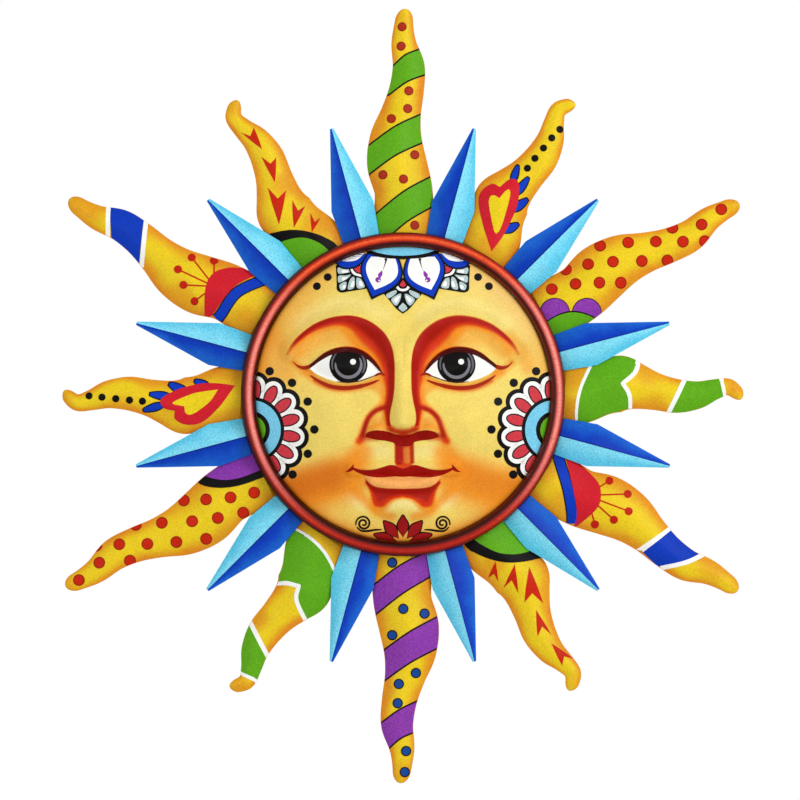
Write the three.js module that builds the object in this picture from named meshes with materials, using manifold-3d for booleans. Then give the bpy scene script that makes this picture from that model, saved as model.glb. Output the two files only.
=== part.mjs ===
// Metal sun face wall plaque: a pressed face in a round rim hoop, with six long and six short
// wavy rays and twelve ridged spikes riveted to a ring behind the rim.
//
// Millimetres, +Z up, the front faces -Y. The origin is the middle of the rear face of the
// cross strap. Depth is measured forward from there, so y = -depth.

import * as THREE from "three";
import { mergeVertices } from "three/addons/utils/BufferGeometryUtils.js";
import Module from "manifold-3d";

// Stock and clearances
const SHEET = 1.0; // pressed sheet of the face, rays and spikes
const PLATE = 2.0; // flat steel of the back ring and cross strap
const SEAT_GAP = 0.3; // between two pieces that rest on each other
const HOLE_GAP = 0.4; // round a rivet, or round a lug in its slot

// Face and rim
const DISH_RADIUS = 76.2; // outside of the skirt
const EDGE_ROUND = 3.0; // bend from the dome into the skirt
const DOME_RISE = 15.0; // of the middle of the dome over its edge
const DOME_EDGE_BELOW_HOOP = 2.2; // dome edge, measured back from the front of the hoop
const ROD_RADIUS = 3.4; // round bar of the rim hoop

// Back ring, strap and bumpers
const RING_OVERHANG = 3.8; // ring edge outside the skirt
const RING_WIDTH = 26.5;
const STRAP_WIDTH = 22.0;
const STRAP_LAP = 9.5; // strap end over the ring
const KEYHOLE_HEAD = 10.0; // hole that a screw head enters
const KEYHOLE_SLOT = 4.8; // slot that its shank slides up
const KEYHOLE_DROP = 10.0; // from the middle of the head hole to the slot's end
const KEYHOLE_TOP = 48.0; // slot's end above the middle
const BUMPER_RADIUS = 5.0;
const BUMPER_THICK = 2.6;
const BUMPER_ANGLE = 142.5; // from the top, on each side

// Roots of rays and spikes
const TAB_INSET = 12.0; // from the skirt in to the end of each root tab
const TAB_FLAT = 0.8; // the tab stays flat this far outside the skirt
const RAY_TAB = 14.0;
const SPIKE_TAB = 11.0;
const RIVET_INSET = 7.2; // rivets, inside the skirt
const RIVET_SHANK = 1.6;
const RIVET_HEAD = 2.7;
const HEAD_RISE = 1.3;
const STRAP_RIVET_SPREAD = 10.0;
const STRAP_RIVET_INSET = 3.6; // rivets, outside the ring's inner edge

// Lugs of the face, bent over behind the ring
const LUGS = 6;
const LUG_WIDTH = 5.0;
const LUG_FOLD = 6.0;

// Rays. Stations from the rim to the tip, in hundredths: [of the reach, shift and half width
// of the broadest half width], where the shift is clockwise
const RAY_EDGE = 3.0; // front of a ray's edge
const RAY_CROWN = 0.42; // crown height over half width
const RAY_HALF_WIDTH = 15.9; // where a long ray is broadest
const LONG_REACH = 116.7; // tip beyond the rim
const SHORT_REACH = 91.5;
const LONG_TIP = 6.0; // length of the rounded tip
const SHORT_TIP = 4.0;
const LONG_RAY = [
  [0, 0, 91], [7.5, 2.5, 97], [19.5, 1.5, 94.5], [31.4, -20, 97], [42.6, -22, 85], [53.7, -5.5, 65.4],
  [64, 12, 56.7], [74.3, 18.7, 52.2], [84.6, 3, 40.8], [93.1, 3, 31], [100, 9, 26],
];
const SHORT_RAY = [
  [0, -1.5, 89], [8.7, -0.7, 95], [21.5, -22, 88], [32.5, -36, 91.4], [42.8, -23.7, 72], [52.7, -8.4, 59.5],
  [64.2, 4.3, 54.6], [75.6, 0, 44.6], [84.9, -17.4, 33.4], [92.6, -25, 27.4], [97.5, -6, 22], [100, 14, 16],
];

// Spikes, folded along a straight ridge
const SPIKE_EDGE = 5.4; // front of a spike's edge, clear over the rays
const SPIKE_RIDGE = 5.8; // ridge over the edge
const SPIKE_REACH = 59.0; // tip beyond the rim
const SPIKE_SHOULDER = 17.5; // widest place beyond the rim
const SPIKE_ROOT_HALF = 9.6;
const SPIKE_SHOULDER_HALF = 11.2;
const SPIKE_TIP_HALF = 0.9;
const SPIKE_TIP_RIDGE = 0.6;

// Facets
const ROUND = 60;
const FACE_ROUND = 72;
const HOLE_SIDES = 6;
const RAY_ROWS = 11;
const STEPS = 240; // samples along a ray's curve
const FACE_RINGS = [5, 10, 15, 19.5, 23.5, 28, 32.5, 36.5, 39.7, 42.3, 45.8, 49.8, 55, 61, 67.5];

// Places that follow from the sizes above
const ringFront = -SEAT_GAP;
const ringRear = ringFront - PLATE;
const tabFront = SHEET;
const skirtRear = tabFront + SEAT_GAP;
const hoopRadius = DISH_RADIUS + SEAT_GAP + ROD_RADIUS;
const rim = hoopRadius + ROD_RADIUS;
const ringOuter = DISH_RADIUS + RING_OVERHANG;
const ringInner = ringOuter - RING_WIDTH;
const tabInner = DISH_RADIUS - TAB_INSET;
const tabOuter = DISH_RADIUS + TAB_FLAT;
const rivetRadius = DISH_RADIUS - RIVET_INSET;
const strapEnd = ringInner + STRAP_LAP;
const pitch = Math.PI / 12;

// The hoop rests on the ramps by which the spikes' ridges rise from their tabs
const rampSlope = (SPIKE_EDGE + SPIKE_RIDGE - tabFront) / (rim + SEAT_GAP - tabOuter);
const hoopDepth = tabFront + rampSlope * (hoopRadius - tabOuter)
  + (ROD_RADIUS + SEAT_GAP) * Math.hypot(1, rampSlope);
const domeEdge = hoopDepth + ROD_RADIUS - DOME_EDGE_BELOW_HOOP;

const wasm = await Module();
wasm.setup();

function toSolid(geometry) {
  const plain = geometry.clone();
  for (const name of ["normal", "uv"]) plain.deleteAttribute(name);
  const merged = mergeVertices(plain, 1e-4);
  const corners = merged.index.array;
  const triangles = [];
  for (let i = 0; i < corners.length; i += 3) {
    const [a, b, c] = corners.subarray(i, i + 3);
    if (a !== b && b !== c && c !== a) triangles.push(a, b, c);
  }
  return new wasm.Manifold(new wasm.Mesh({
    numProp: 3, vertProperties: merged.attributes.position.array, triVerts: new Uint32Array(triangles),
  }));
}

function toGeometry(solid) {
  const mesh = solid.getMesh();
  const geometry = new THREE.BufferGeometry();
  geometry.setAttribute("position", new THREE.BufferAttribute(mesh.vertProperties, 3));
  geometry.setIndex(new THREE.BufferAttribute(mesh.triVerts, 1));
  geometry.computeVertexNormals();
  return geometry;
}

// A sheet from rows of front points [x, depth, z], left to right and upward
function sheetGeometry(rows) {
  const across = rows[0].length;
  const position = [];
  for (const back of [0, SHEET])
    for (const row of rows) for (const [x, depth, z] of row) position.push(x, back - depth, z);
  const at = (i, j, side) => (side * rows.length + i) * across + j;
  const index = [];
  const quad = (a, b, c, d) => index.push(a, b, c, a, c, d);
  for (let i = 0; i + 1 < rows.length; i++)
    for (let j = 0; j + 1 < across; j++) {
      quad(at(i, j, 0), at(i, j + 1, 0), at(i + 1, j + 1, 0), at(i + 1, j, 0));
      quad(at(i, j, 1), at(i + 1, j, 1), at(i + 1, j + 1, 1), at(i, j + 1, 1));
    }
  const wall = (i, j, k, l) => quad(at(k, l, 0), at(i, j, 0), at(i, j, 1), at(k, l, 1));
  const top = rows.length - 1;
  const right = across - 1;
  for (let j = 0; j < right; j++) {
    wall(0, j, 0, j + 1);
    wall(top, j + 1, top, j);
  }
  for (let i = 0; i < top; i++) {
    wall(i, right, i + 1, right);
    wall(i + 1, 0, i, 0);
  }
  const geometry = new THREE.BufferGeometry();
  geometry.setAttribute("position", new THREE.Float32BufferAttribute(position, 3));
  geometry.setIndex(index);
  geometry.computeVertexNormals();
  return geometry;
}

// A closed polygon round (x, z), turned so that its first corner points away from the middle
function roundPath(x, z, radius, sides) {
  const turn = Math.atan2(z, x);
  return Array.from({ length: sides }, (_, i) => {
    const a = turn + (2 * Math.PI * i) / sides;
    return new THREE.Vector2(x + radius * Math.cos(a), z + radius * Math.sin(a));
  });
}

// A flat plate from an outline in x and z with holes, its rear face at the given depth
function plateGeometry(outline, holes, rear, thickness) {
  const shape = new THREE.Shape(outline);
  shape.holes = holes.map((hole) => new THREE.Path(hole));
  const geometry = new THREE.ExtrudeGeometry(shape, { depth: thickness, bevelEnabled: false });
  return geometry.rotateX(Math.PI / 2).translate(0, -rear, 0);
}

// Where a direction `turn` clockwise from the top crosses the given radius
const place = (radius, turn) => [radius * Math.sin(turn), radius * Math.cos(turn)];

function drillTab(geometry) {
  const drill = plateGeometry(
    roundPath(0, rivetRadius, RIVET_SHANK + HOLE_GAP, HOLE_SIDES), [], -SHEET, 3 * SHEET);
  return toGeometry(toSolid(geometry).subtract(toSolid(drill)));
}

// Soft ridge across a ray, 1 in the middle and 0 at the edges
const rayProfile = (v) => 0.45 * (1 - Math.abs(v)) + 0.55 * (1 - v * v);

function rayGeometry(stations, reach, tip) {
  const points = stations.map(([along, shift, half]) => new THREE.Vector3(
    (shift / 100) * RAY_HALF_WIDTH, (half / 100) * RAY_HALF_WIDTH, rim + (along / 100) * reach));
  const samples = new THREE.CatmullRomCurve3(points, false, "catmullrom", 0.5).getPoints(STEPS);
  const run = [0];
  for (let i = 1; i <= STEPS; i++)
    run.push(run[i - 1] + Math.hypot(samples[i].x - samples[i - 1].x, samples[i].z - samples[i - 1].z));
  const length = run[STEPS];

  const across = [-1, -0.55, 0, 0.55, 1];
  const tabRow = (z) => across.map((v) => [(v * RAY_TAB) / 2, tabFront, z]);
  const rows = [tabRow(tabInner), tabRow(tabOuter)];
  const addRow = (distance, narrowing) => {
    const i = Math.min(STEPS - 1, run.findIndex((r) => r >= distance - 1e-9));
    const [before, here, after] = [samples[Math.max(0, i - 1)], samples[i], samples[i + 1]];
    const [dx, dz] = [after.x - before.x, after.z - before.z];
    const step = Math.hypot(dx, dz);
    const half = here.y * narrowing;
    rows.push(across.map((v) => [
      here.x + (dz / step) * half * v,
      RAY_EDGE + RAY_CROWN * half * rayProfile(v),
      here.z - (dx / step) * half * v,
    ]));
  };
  for (let i = 0; i <= RAY_ROWS; i++) addRow(((length - tip) * i) / RAY_ROWS, 1);
  for (const degrees of [35, 62, 84]) {
    const a = THREE.MathUtils.degToRad(degrees);
    addRow(length - tip * (1 - Math.sin(a)), Math.cos(a));
  }
  return drillTab(sheetGeometry(rows));
}

function spikeGeometry() {
  const row = (z, half, edge, ridge) => [[-half, edge, z], [0, edge + ridge, z], [half, edge, z]];
  return drillTab(sheetGeometry([
    row(tabInner, SPIKE_TAB / 2, tabFront, 0),
    row(tabOuter, SPIKE_TAB / 2, tabFront, 0),
    row(rim + SEAT_GAP, SPIKE_ROOT_HALF, SPIKE_EDGE, SPIKE_RIDGE),
    row(rim + SPIKE_SHOULDER, SPIKE_SHOULDER_HALF, SPIKE_EDGE, SPIKE_RIDGE),
    row(rim + SPIKE_REACH, SPIKE_TIP_HALF, SPIKE_EDGE, SPIKE_TIP_RIDGE),
  ]));
}

// Relief of the face: swellings and hollows [x, z, half width, half height, rise], both sides alike
const SWELLINGS = [
  [0, -12, 11.5, 12.5, 2.4], // ball of the nose
  [13.5, -18.5, 8, 7, 4.2], // nostrils
  [29.6, 14.5, 20, 11, 4.6], // eyeballs
  [20, 21, 16, 15, -3], // hollows between brow and nose
  [38, -14, 24, 20, 3], // cheeks
  [0, -57, 17, 11, 3], // chin
  [0, -51.5, 17, 3.5, -1.4], // fold under the lip
];
// Ridges: [rise, half width, points], both sides alike
const RIDGES = [
  [2.6, 8, [[5, 18], [9, 31], [20, 38.5], [30, 39.7], [44, 34], [57, 22]]], // brows
  [2.8, 5, [[0, -39.4], [10, -38], [26, -39]]], // upper lip
  [3.4, 5.4, [[0, -47], [7, -46.8], [15, -45]]], // lower lip
];
const NOSE = { top: 34, root: 24, tip: -16, foot: -23.5, rootHalf: 7, tipHalf: 11.5, rootRise: 2.5, tipRise: 7.5 };

const smooth = (from, to, value) => THREE.MathUtils.smoothstep(value, from, to);

function distanceTo(points, x, z) {
  let least = Infinity;
  for (let i = 1; i < points.length; i++) {
    const [ax, az] = points[i - 1];
    const [bx, bz] = [points[i][0] - ax, points[i][1] - az];
    const t = THREE.MathUtils.clamp(((x - ax) * bx + (z - az) * bz) / (bx * bx + bz * bz), 0, 1);
    least = Math.min(least, Math.hypot(x - ax - t * bx, z - az - t * bz));
  }
  return least;
}

function relief(x, z) {
  x = Math.abs(x);
  let rise = 0;
  for (const [cx, cz, halfWidth, halfHeight, height] of SWELLINGS) {
    const q = ((x - cx) / halfWidth) ** 2 + ((z - cz) / halfHeight) ** 2;
    rise += height * Math.max(0, 1 - q) ** 2;
  }
  for (const [height, halfWidth, points] of RIDGES)
    rise += height * Math.max(0, 1 - (distanceTo(points, x, z) / halfWidth) ** 2) ** 2;
  const along = THREE.MathUtils.clamp((NOSE.root - z) / (NOSE.root - NOSE.tip), 0, 1);
  const half = NOSE.rootHalf + (NOSE.tipHalf - NOSE.rootHalf) * along;
  const ends = (1 - smooth(NOSE.root, NOSE.top, z)) * smooth(NOSE.foot, NOSE.tip, z);
  rise += (NOSE.rootRise + (NOSE.tipRise - NOSE.rootRise) * along) * ends * Math.max(0, 1 - (x / half) ** 2) ** 2;
  return rise;
}

function faceGeometry() {
  const edge = DISH_RADIUS - EDGE_ROUND;
  const dome = (r) => domeEdge + DOME_RISE * (1 - (r / edge) ** 2);
  const lean = (2 * DOME_RISE) / edge; // slope of the dome where the bend starts
  const rings = [0, ...FACE_RINGS.filter((r) => r < edge - 2), edge];
  const bend = [0.45, 0.8].map((f) => [edge + EDGE_ROUND * f, domeEdge - EDGE_ROUND * (lean * f + 0.55 * f ** 3)]);
  const drop = domeEdge - EDGE_ROUND * (lean + 1);
  const front = [...rings.map((r) => [r, dome(r)]), ...bend, [DISH_RADIUS, drop], [DISH_RADIUS, skirtRear]];
  const inner = DISH_RADIUS - SHEET;
  const back = [
    [inner, skirtRear], [inner, drop - SHEET / 2],
    ...rings.filter((r) => r < inner - 1).reverse().map((r) => [r, dome(r) - SHEET]),
  ];
  const profile = [...front, ...back].map(([r, depth]) => new THREE.Vector2(r, -depth));
  const shell = new THREE.LatheGeometry(profile, FACE_ROUND);
  const p = shell.attributes.position;
  for (let i = 0; i < p.count; i++) p.setY(i, p.getY(i) - relief(p.getX(i), p.getZ(i)));

  // A lug: down from the skirt through the ring, then folded in over its rear face
  const [outside, inside] = [DISH_RADIUS - 0.1, DISH_RADIUS - SHEET + 0.1];
  const foldFront = ringRear - SEAT_GAP;
  const foldRear = foldFront - SHEET;
  const bent = [
    [outside, skirtRear + 2], [inside, skirtRear + 2], [inside, foldFront], [outside - LUG_FOLD, foldFront],
    [outside - LUG_FOLD, foldRear], [outside - 0.6, foldRear], [outside, foldRear + 0.6],
  ].map(([r, depth]) => new THREE.Vector2(r, depth));
  let solid = toSolid(shell);
  for (let i = 0; i < LUGS; i++) {
    const lug = new THREE.ExtrudeGeometry(new THREE.Shape(bent), { depth: LUG_WIDTH, bevelEnabled: false });
    lug.translate(0, 0, -LUG_WIDTH / 2);
    // Profile (radius, depth, width) to (z, -y, x), then round to the lug's place
    lug.applyMatrix4(new THREE.Matrix4().set(0, 0, 1, 0, 0, -1, 0, 0, 1, 0, 0, 0, 0, 0, 0, 1));
    lug.rotateY(pitch / 2 + (2 * Math.PI * i) / LUGS);
    solid = solid.add(toSolid(lug));
  }
  return toGeometry(solid);
}

function ringGeometry() {
  const holes = [roundPath(0, 0, ringInner, 48)];
  for (let i = 0; i < 24; i++)
    holes.push(roundPath(...place(rivetRadius, pitch * i), RIVET_SHANK + HOLE_GAP, HOLE_SIDES));
  for (const [x, z] of strapRivets()) holes.push(roundPath(x, z, RIVET_SHANK + HOLE_GAP, HOLE_SIDES));
  for (let i = 0; i < LUGS; i++) {
    const turn = pitch / 2 + (2 * Math.PI * i) / LUGS;
    const half = LUG_WIDTH / 2 + HOLE_GAP;
    const corner = (radius, side) => {
      const [x, z] = place(radius, turn);
      return new THREE.Vector2(x + side * Math.cos(turn), z - side * Math.sin(turn));
    };
    const [near, far] = [DISH_RADIUS - SHEET - HOLE_GAP, DISH_RADIUS + HOLE_GAP];
    holes.push([corner(near, -half), corner(near, half), corner(far, half), corner(far, -half)]);
  }
  return plateGeometry(roundPath(0, 0, ringOuter, ROUND), holes, ringRear, PLATE);
}

function strapRivets() {
  const z = ringInner + STRAP_RIVET_INSET;
  const x = STRAP_RIVET_SPREAD / 2;
  return [[x, z], [-x, z], [-x, -z], [x, -z]];
}

function strapGeometry() {
  const corner = STRAP_WIDTH / 4;
  const outline = new THREE.Shape();
  const [x, z] = [STRAP_WIDTH / 2, strapEnd];
  outline.moveTo(-x + corner, -z).lineTo(x - corner, -z);
  outline.absarc(x - corner, -z + corner, corner, -Math.PI / 2, 0).lineTo(x, z - corner);
  outline.absarc(x - corner, z - corner, corner, 0, Math.PI / 2).lineTo(-x + corner, z);
  outline.absarc(-x + corner, z - corner, corner, Math.PI / 2, Math.PI).lineTo(-x, -z + corner);
  outline.absarc(-x + corner, -z + corner, corner, Math.PI, 1.5 * Math.PI);
  const slotHalf = KEYHOLE_SLOT / 2;
  const head = KEYHOLE_TOP - KEYHOLE_DROP;
  const opening = Math.asin(slotHalf / (KEYHOLE_HEAD / 2));
  const keyhole = new THREE.Path();
  keyhole.absarc(0, KEYHOLE_TOP - slotHalf, slotHalf, 0, Math.PI);
  keyhole.absarc(0, head, KEYHOLE_HEAD / 2, Math.PI / 2 + opening, 2.5 * Math.PI - opening);
  const holes = strapRivets().map(([hx, hz]) => roundPath(hx, hz, RIVET_SHANK + HOLE_GAP, HOLE_SIDES));
  return plateGeometry(outline.getPoints(4), [keyhole.getPoints(12), ...holes], 0, PLATE);
}

// A rivet along -Y whose head rests in front of `grip` and whose tail is closed behind the ring
function rivetGeometry(grip) {
  const under = grip + SEAT_GAP;
  const tail = ringRear - SEAT_GAP;
  const profile = [
    [0, tail - HEAD_RISE], [RIVET_HEAD - 0.4, tail - HEAD_RISE], [RIVET_HEAD, tail], [RIVET_SHANK, tail],
    [RIVET_SHANK, under], [RIVET_HEAD, under], [0, under + HEAD_RISE],
  ].map(([r, depth]) => new THREE.Vector2(r, -depth)).reverse();
  return new THREE.LatheGeometry(profile, HOLE_SIDES);
}

function hoopGeometry() {
  const section = Array.from({ length: 9 }, (_, i) => {
    const a = (2 * Math.PI * (i % 8)) / 8;
    return new THREE.Vector2(hoopRadius + ROD_RADIUS * Math.cos(a), -hoopDepth + ROD_RADIUS * Math.sin(a));
  });
  return new THREE.LatheGeometry(section, ROUND);
}

function bumperGeometry() {
  const front = ringRear - SEAT_GAP;
  const rear = front - BUMPER_THICK;
  const profile = [
    [0, rear], [BUMPER_RADIUS - 1.4, rear], [BUMPER_RADIUS, rear + 1.2], [BUMPER_RADIUS, front], [0, front],
  ].map(([r, depth]) => new THREE.Vector2(r, -depth)).reverse();
  return new THREE.LatheGeometry(profile, 16);
}

const enamel = (color) => new THREE.MeshStandardMaterial({ color, roughness: 0.4, metalness: 0.2 });
const steel = new THREE.MeshStandardMaterial({ color: 0x9a9a98, roughness: 0.4, metalness: 1 });
const blackSteel = new THREE.MeshStandardMaterial({ color: 0x26282a, roughness: 0.55, metalness: 0.6 });
const rubber = new THREE.MeshStandardMaterial({ color: 0x1d1d1d, roughness: 0.85, metalness: 0 });
const sunYellow = enamel(0xf2c230);
const spikeBlue = enamel(0x2a7fe0);

const plaque = new THREE.Group();
function add(name, geometry, material, turn = 0) {
  const mesh = new THREE.Mesh(geometry, material);
  mesh.name = name;
  mesh.rotation.y = turn;
  plaque.add(mesh);
  return mesh;
}

add("face_dish", faceGeometry(), enamel(0xf6dc72));
add("rim_hoop", hoopGeometry(), enamel(0xc4301c));
add("back_ring", ringGeometry(), blackSteel);
add("hanger_strap", strapGeometry(), blackSteel);

const longRay = rayGeometry(LONG_RAY, LONG_REACH, LONG_TIP);
const shortRay = rayGeometry(SHORT_RAY, SHORT_REACH, SHORT_TIP);
const spike = spikeGeometry();
const rootRivet = rivetGeometry(tabFront);
for (let i = 0; i < 12; i++) {
  const turn = 2 * pitch * i;
  const number = Math.floor(i / 2) + 1;
  if (i % 2 === 0) add(`ray_long_${number}`, longRay, sunYellow, turn);
  else add(`ray_short_${number}`, shortRay, sunYellow, turn);
  add(`spike_${i + 1}`, spike, spikeBlue, turn + pitch);
  for (const [name, angle] of [["ray_rivet", turn], ["spike_rivet", turn + pitch]]) {
    const [x, z] = place(rivetRadius, angle);
    add(`${name}_${i + 1}`, rootRivet, steel, angle).position.set(x, 0, z);
  }
}
strapRivets().forEach(([x, z], i) => {
  add(`strap_rivet_${i + 1}`, rivetGeometry(PLATE), steel, Math.atan2(x, z)).position.set(x, 0, z);
});
for (const [name, side] of [["bumper_right", 1], ["bumper_left", -1]]) {
  const [x, z] = place(rivetRadius, THREE.MathUtils.degToRad(BUMPER_ANGLE));
  add(name, bumperGeometry(), rubber).position.set(side * x, 0, z);
}

export default plaque;
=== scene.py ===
"""Dresses the metal sun face wall plaque: pressed and enamelled sheet, hand-painted folk motifs,
a bright round rim, black painted steel behind, and a plain studio.

Shapes are worked out in millimetres, with `depth` measured from the wall towards the viewer
(y = -depth). Painted motifs are written in the photograph's pixels, and `on_rays` and `on_face`
turn those into millimetres on the plaque.
"""

import math

import bmesh
import bpy
import numpy as np
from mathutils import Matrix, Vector
from mathutils.geometry import delaunay_2d_cdt


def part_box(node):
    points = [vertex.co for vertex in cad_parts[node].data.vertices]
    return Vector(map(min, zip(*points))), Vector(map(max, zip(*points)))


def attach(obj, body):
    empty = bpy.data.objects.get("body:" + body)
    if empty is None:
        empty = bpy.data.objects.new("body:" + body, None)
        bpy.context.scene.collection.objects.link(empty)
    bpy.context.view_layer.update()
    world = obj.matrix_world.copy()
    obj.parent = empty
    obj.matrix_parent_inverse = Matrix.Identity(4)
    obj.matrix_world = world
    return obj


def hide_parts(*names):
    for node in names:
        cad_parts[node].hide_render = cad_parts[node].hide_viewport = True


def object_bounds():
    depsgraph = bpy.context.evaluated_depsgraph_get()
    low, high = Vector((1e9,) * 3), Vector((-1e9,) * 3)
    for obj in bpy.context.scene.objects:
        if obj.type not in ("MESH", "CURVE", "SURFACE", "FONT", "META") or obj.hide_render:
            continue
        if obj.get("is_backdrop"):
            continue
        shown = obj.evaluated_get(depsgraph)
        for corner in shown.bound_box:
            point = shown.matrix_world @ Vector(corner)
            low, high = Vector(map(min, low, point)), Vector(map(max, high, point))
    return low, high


bl_info = {
    "name": "Sun face wall plaque",
    "version": (1, 0, 0),
    "blender": (4, 5, 0),
    "location": "View3D > Sidebar > Plaque",
    "description": "Builds an enamelled metal sun with its painted folk motifs",
    "category": "Object",
}

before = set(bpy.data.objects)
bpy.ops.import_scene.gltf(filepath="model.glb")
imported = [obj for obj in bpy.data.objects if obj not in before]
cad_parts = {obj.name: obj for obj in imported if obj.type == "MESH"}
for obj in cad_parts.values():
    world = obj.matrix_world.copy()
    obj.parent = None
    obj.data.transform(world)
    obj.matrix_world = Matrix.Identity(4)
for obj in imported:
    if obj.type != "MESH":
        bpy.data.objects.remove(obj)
MM = 0.001
SHEET = 1.0  # mm, thickness of the pressed pieces
STEP = math.radians(30)  # from one ray to the next


def linear(colour):
    """The linear colour that shaders take, from an sRGB hex value."""
    channels = [int(colour[i:i + 2], 16) / 255 for i in (1, 3, 5)]
    return tuple(c / 12.92 if c <= 0.04045 else ((c + 0.055) / 1.055) ** 2.4 for c in channels) + (1.0,)


def size(name, description, default, unit="LENGTH"):
    return bpy.props.FloatProperty(name=name, description=description, default=default, unit=unit,
                                   precision=5)


def colour(name, description, default):
    return bpy.props.FloatVectorProperty(
        name=name, description=description, default=linear(default), size=4, subtype="COLOR", min=0, max=1)


class PlaqueSizes(bpy.types.PropertyGroup):
    """Sizes of the sheet-metal forms."""
    dish_radius: size("Face radius", "Outside of the skirt of the face", 0.0762)
    edge_round: size("Edge bend", "Bend from the dome into the skirt", 0.003)
    dome_rise: size("Dome rise", "Middle of the dome over its edge", 0.015)
    ray_edge: size("Ray edge", "Front of a ray's edge before the strap's rear face", 0.003)
    ray_half_width: size("Ray half width", "Half width of a long ray where it is broadest", 0.0159)
    long_reach: size("Long ray", "Tip of a long ray beyond the rim", 0.1167)
    short_reach: size("Short ray", "Tip of a short ray beyond the rim", 0.0915)
    spike_edge: size("Spike edge", "Front of a spike's edge before the strap's rear face", 0.0054)
    spike_ridge: size("Spike ridge", "Ridge of a spike over its edge", 0.0058)
    spike_reach: size("Spike", "Tip of a spike beyond the rim", 0.059)
    grain: size("Enamel grain", "Spacing of the speckle in the sprayed enamel", 0.0008)


class PlaqueColours(bpy.types.PropertyGroup):
    """Colours of the enamels and paints."""
    face: colour("Face", "Pale yellow of the face", "#F4D96C")
    orange: colour("Orange", "Airbrushed shading", "#F4921E")
    red: colour("Red", "Shading between rust and orange", "#DA360C")
    rust: colour("Rust", "Deep shading of brows and nose", "#AC1404")
    cream: colour("Cream", "Lights of the face", "#FBEBA0")
    ray: colour("Ray", "Yellow of the rays", "#F0CF1E")
    ray_edge: colour("Ray edge", "Orange of the ray edges", "#E88E1E")
    dark_blue: colour("Dark blue", "Shaded side of the spikes", "#003CC0")
    light_blue: colour("Light blue", "Light side of the spikes", "#84E4FF")
    back: colour("Back", "Black paint behind", "#2A2A2D")


class PlaqueStage(bpy.types.PropertyGroup):
    """Camera and studio light."""
    distance: size("Camera distance", "From the plaque to the camera", 2.4)
    frame_width: size("Frame", "Width that the picture covers at the rim", 0.4133)
    elevation: bpy.props.FloatProperty(
        name="Camera elevation", description="Above the horizon", default=math.radians(-2.2),
        unit="ROTATION")
    key: size("Key lamp", "Power of the large soft lamp at the right", 15.0, "POWER")
    fill: size("Fill lamp", "Power of the broad lamp at the left", 16.0, "POWER")
    surround: bpy.props.FloatProperty(name="Surround", description="Strength of the even light",
                                      default=0.54)


# Shared tools


def mm(value):
    """A property's metres as millimetres."""
    return value / MM


def soft_point(a, b, c, d, t):
    """The place a share t of the way from b to c on the soft curve through a, b, c and d."""
    return 0.5 * (2 * b + (c - a) * t + (2 * a - 5 * b + 4 * c - d) * t * t + (3 * b - 3 * c + d - a)
                  * t ** 3)


def smooth(points, spacing=1.0):
    """A soft open curve through points, as points about `spacing` apart."""
    points = [np.array(p, float) for p in points]
    if len(points) == 2:
        count = max(1, int(np.linalg.norm(points[1] - points[0]) / spacing))
        return [points[0] + (points[1] - points[0]) * i / count for i in range(count + 1)]
    ends = [2 * points[0] - points[1]] + points + [2 * points[-1] - points[-2]]
    out = []
    for a, b, c, d in zip(ends, ends[1:], ends[2:], ends[3:]):
        count = max(2, int(np.linalg.norm(c - b) / spacing))
        out += [soft_point(a, b, c, d, i / count) for i in range(count)]
    return out + [points[-1]]


def joined(*pieces):
    """A closed outline from soft pieces, each without its last point."""
    return [point for piece in pieces for point in smooth(piece)[:-1]]


def outline(*pieces):
    """A closed outline from soft pieces that run on to the first point of the next, with a corner there."""
    return joined(*[[*piece, after[0]] for piece, after in zip(pieces, pieces[1:] + pieces[:1])])


def ring(points):
    """A soft closed outline without corners."""
    points = [np.array(p, float) for p in points]
    out = []
    for i in range(len(points)):
        a, b, c, d = (points[(i + k) % len(points)] for k in (-1, 0, 1, 2))
        count = max(2, int(np.linalg.norm(c - b)))
        out += [soft_point(a, b, c, d, t) for t in np.arange(count) / count]
    return out


def ellipse(centre, rx, ry, turn=0.0, sides=28):
    """An ellipse with its long way turned by `turn` degrees anticlockwise in the picture."""
    a = math.radians(turn)
    return [np.array((
        centre[0] + rx * math.cos(t) * math.cos(a) - ry * math.sin(t) * math.sin(a),
        centre[1] - rx * math.cos(t) * math.sin(a) - ry * math.sin(t) * math.cos(a),
    )) for t in np.linspace(0, 2 * math.pi, sides, endpoint=False)]


def linked(name, data):
    """A new object in the scene."""
    made = bpy.data.objects.new(name, data)
    bpy.context.scene.collection.objects.link(made)
    return made


def mesh_piece(name, points, faces, materials, uv=None, slots=None):
    """A piece from points (x, depth, z) in millimetres."""
    points = np.asarray(points, float)
    mesh = bpy.data.meshes.new(name)
    mesh.from_pydata((points * (1, -1, 1) * MM).tolist(), [], faces)
    for material in materials:
        mesh.materials.append(material)
    if slots is not None:
        mesh.polygons.foreach_set("material_index", slots)
    if uv is not None:
        layer = mesh.uv_layers.new(name="UVMap")
        corners = np.empty(len(mesh.loops), int)
        mesh.loops.foreach_get("vertex_index", corners)
        layer.data.foreach_set("uv", np.asarray(uv, float)[corners].ravel())
    mesh.shade_smooth()
    mesh.set_sharp_from_angle(angle=math.radians(38))
    return linked(name, mesh)


def dress(piece, slot, *nodes):
    """Hangs a finished piece on the root body and hides the nodes it stands for."""
    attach(piece, "root")
    if nodes:
        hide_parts(*nodes)


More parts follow.
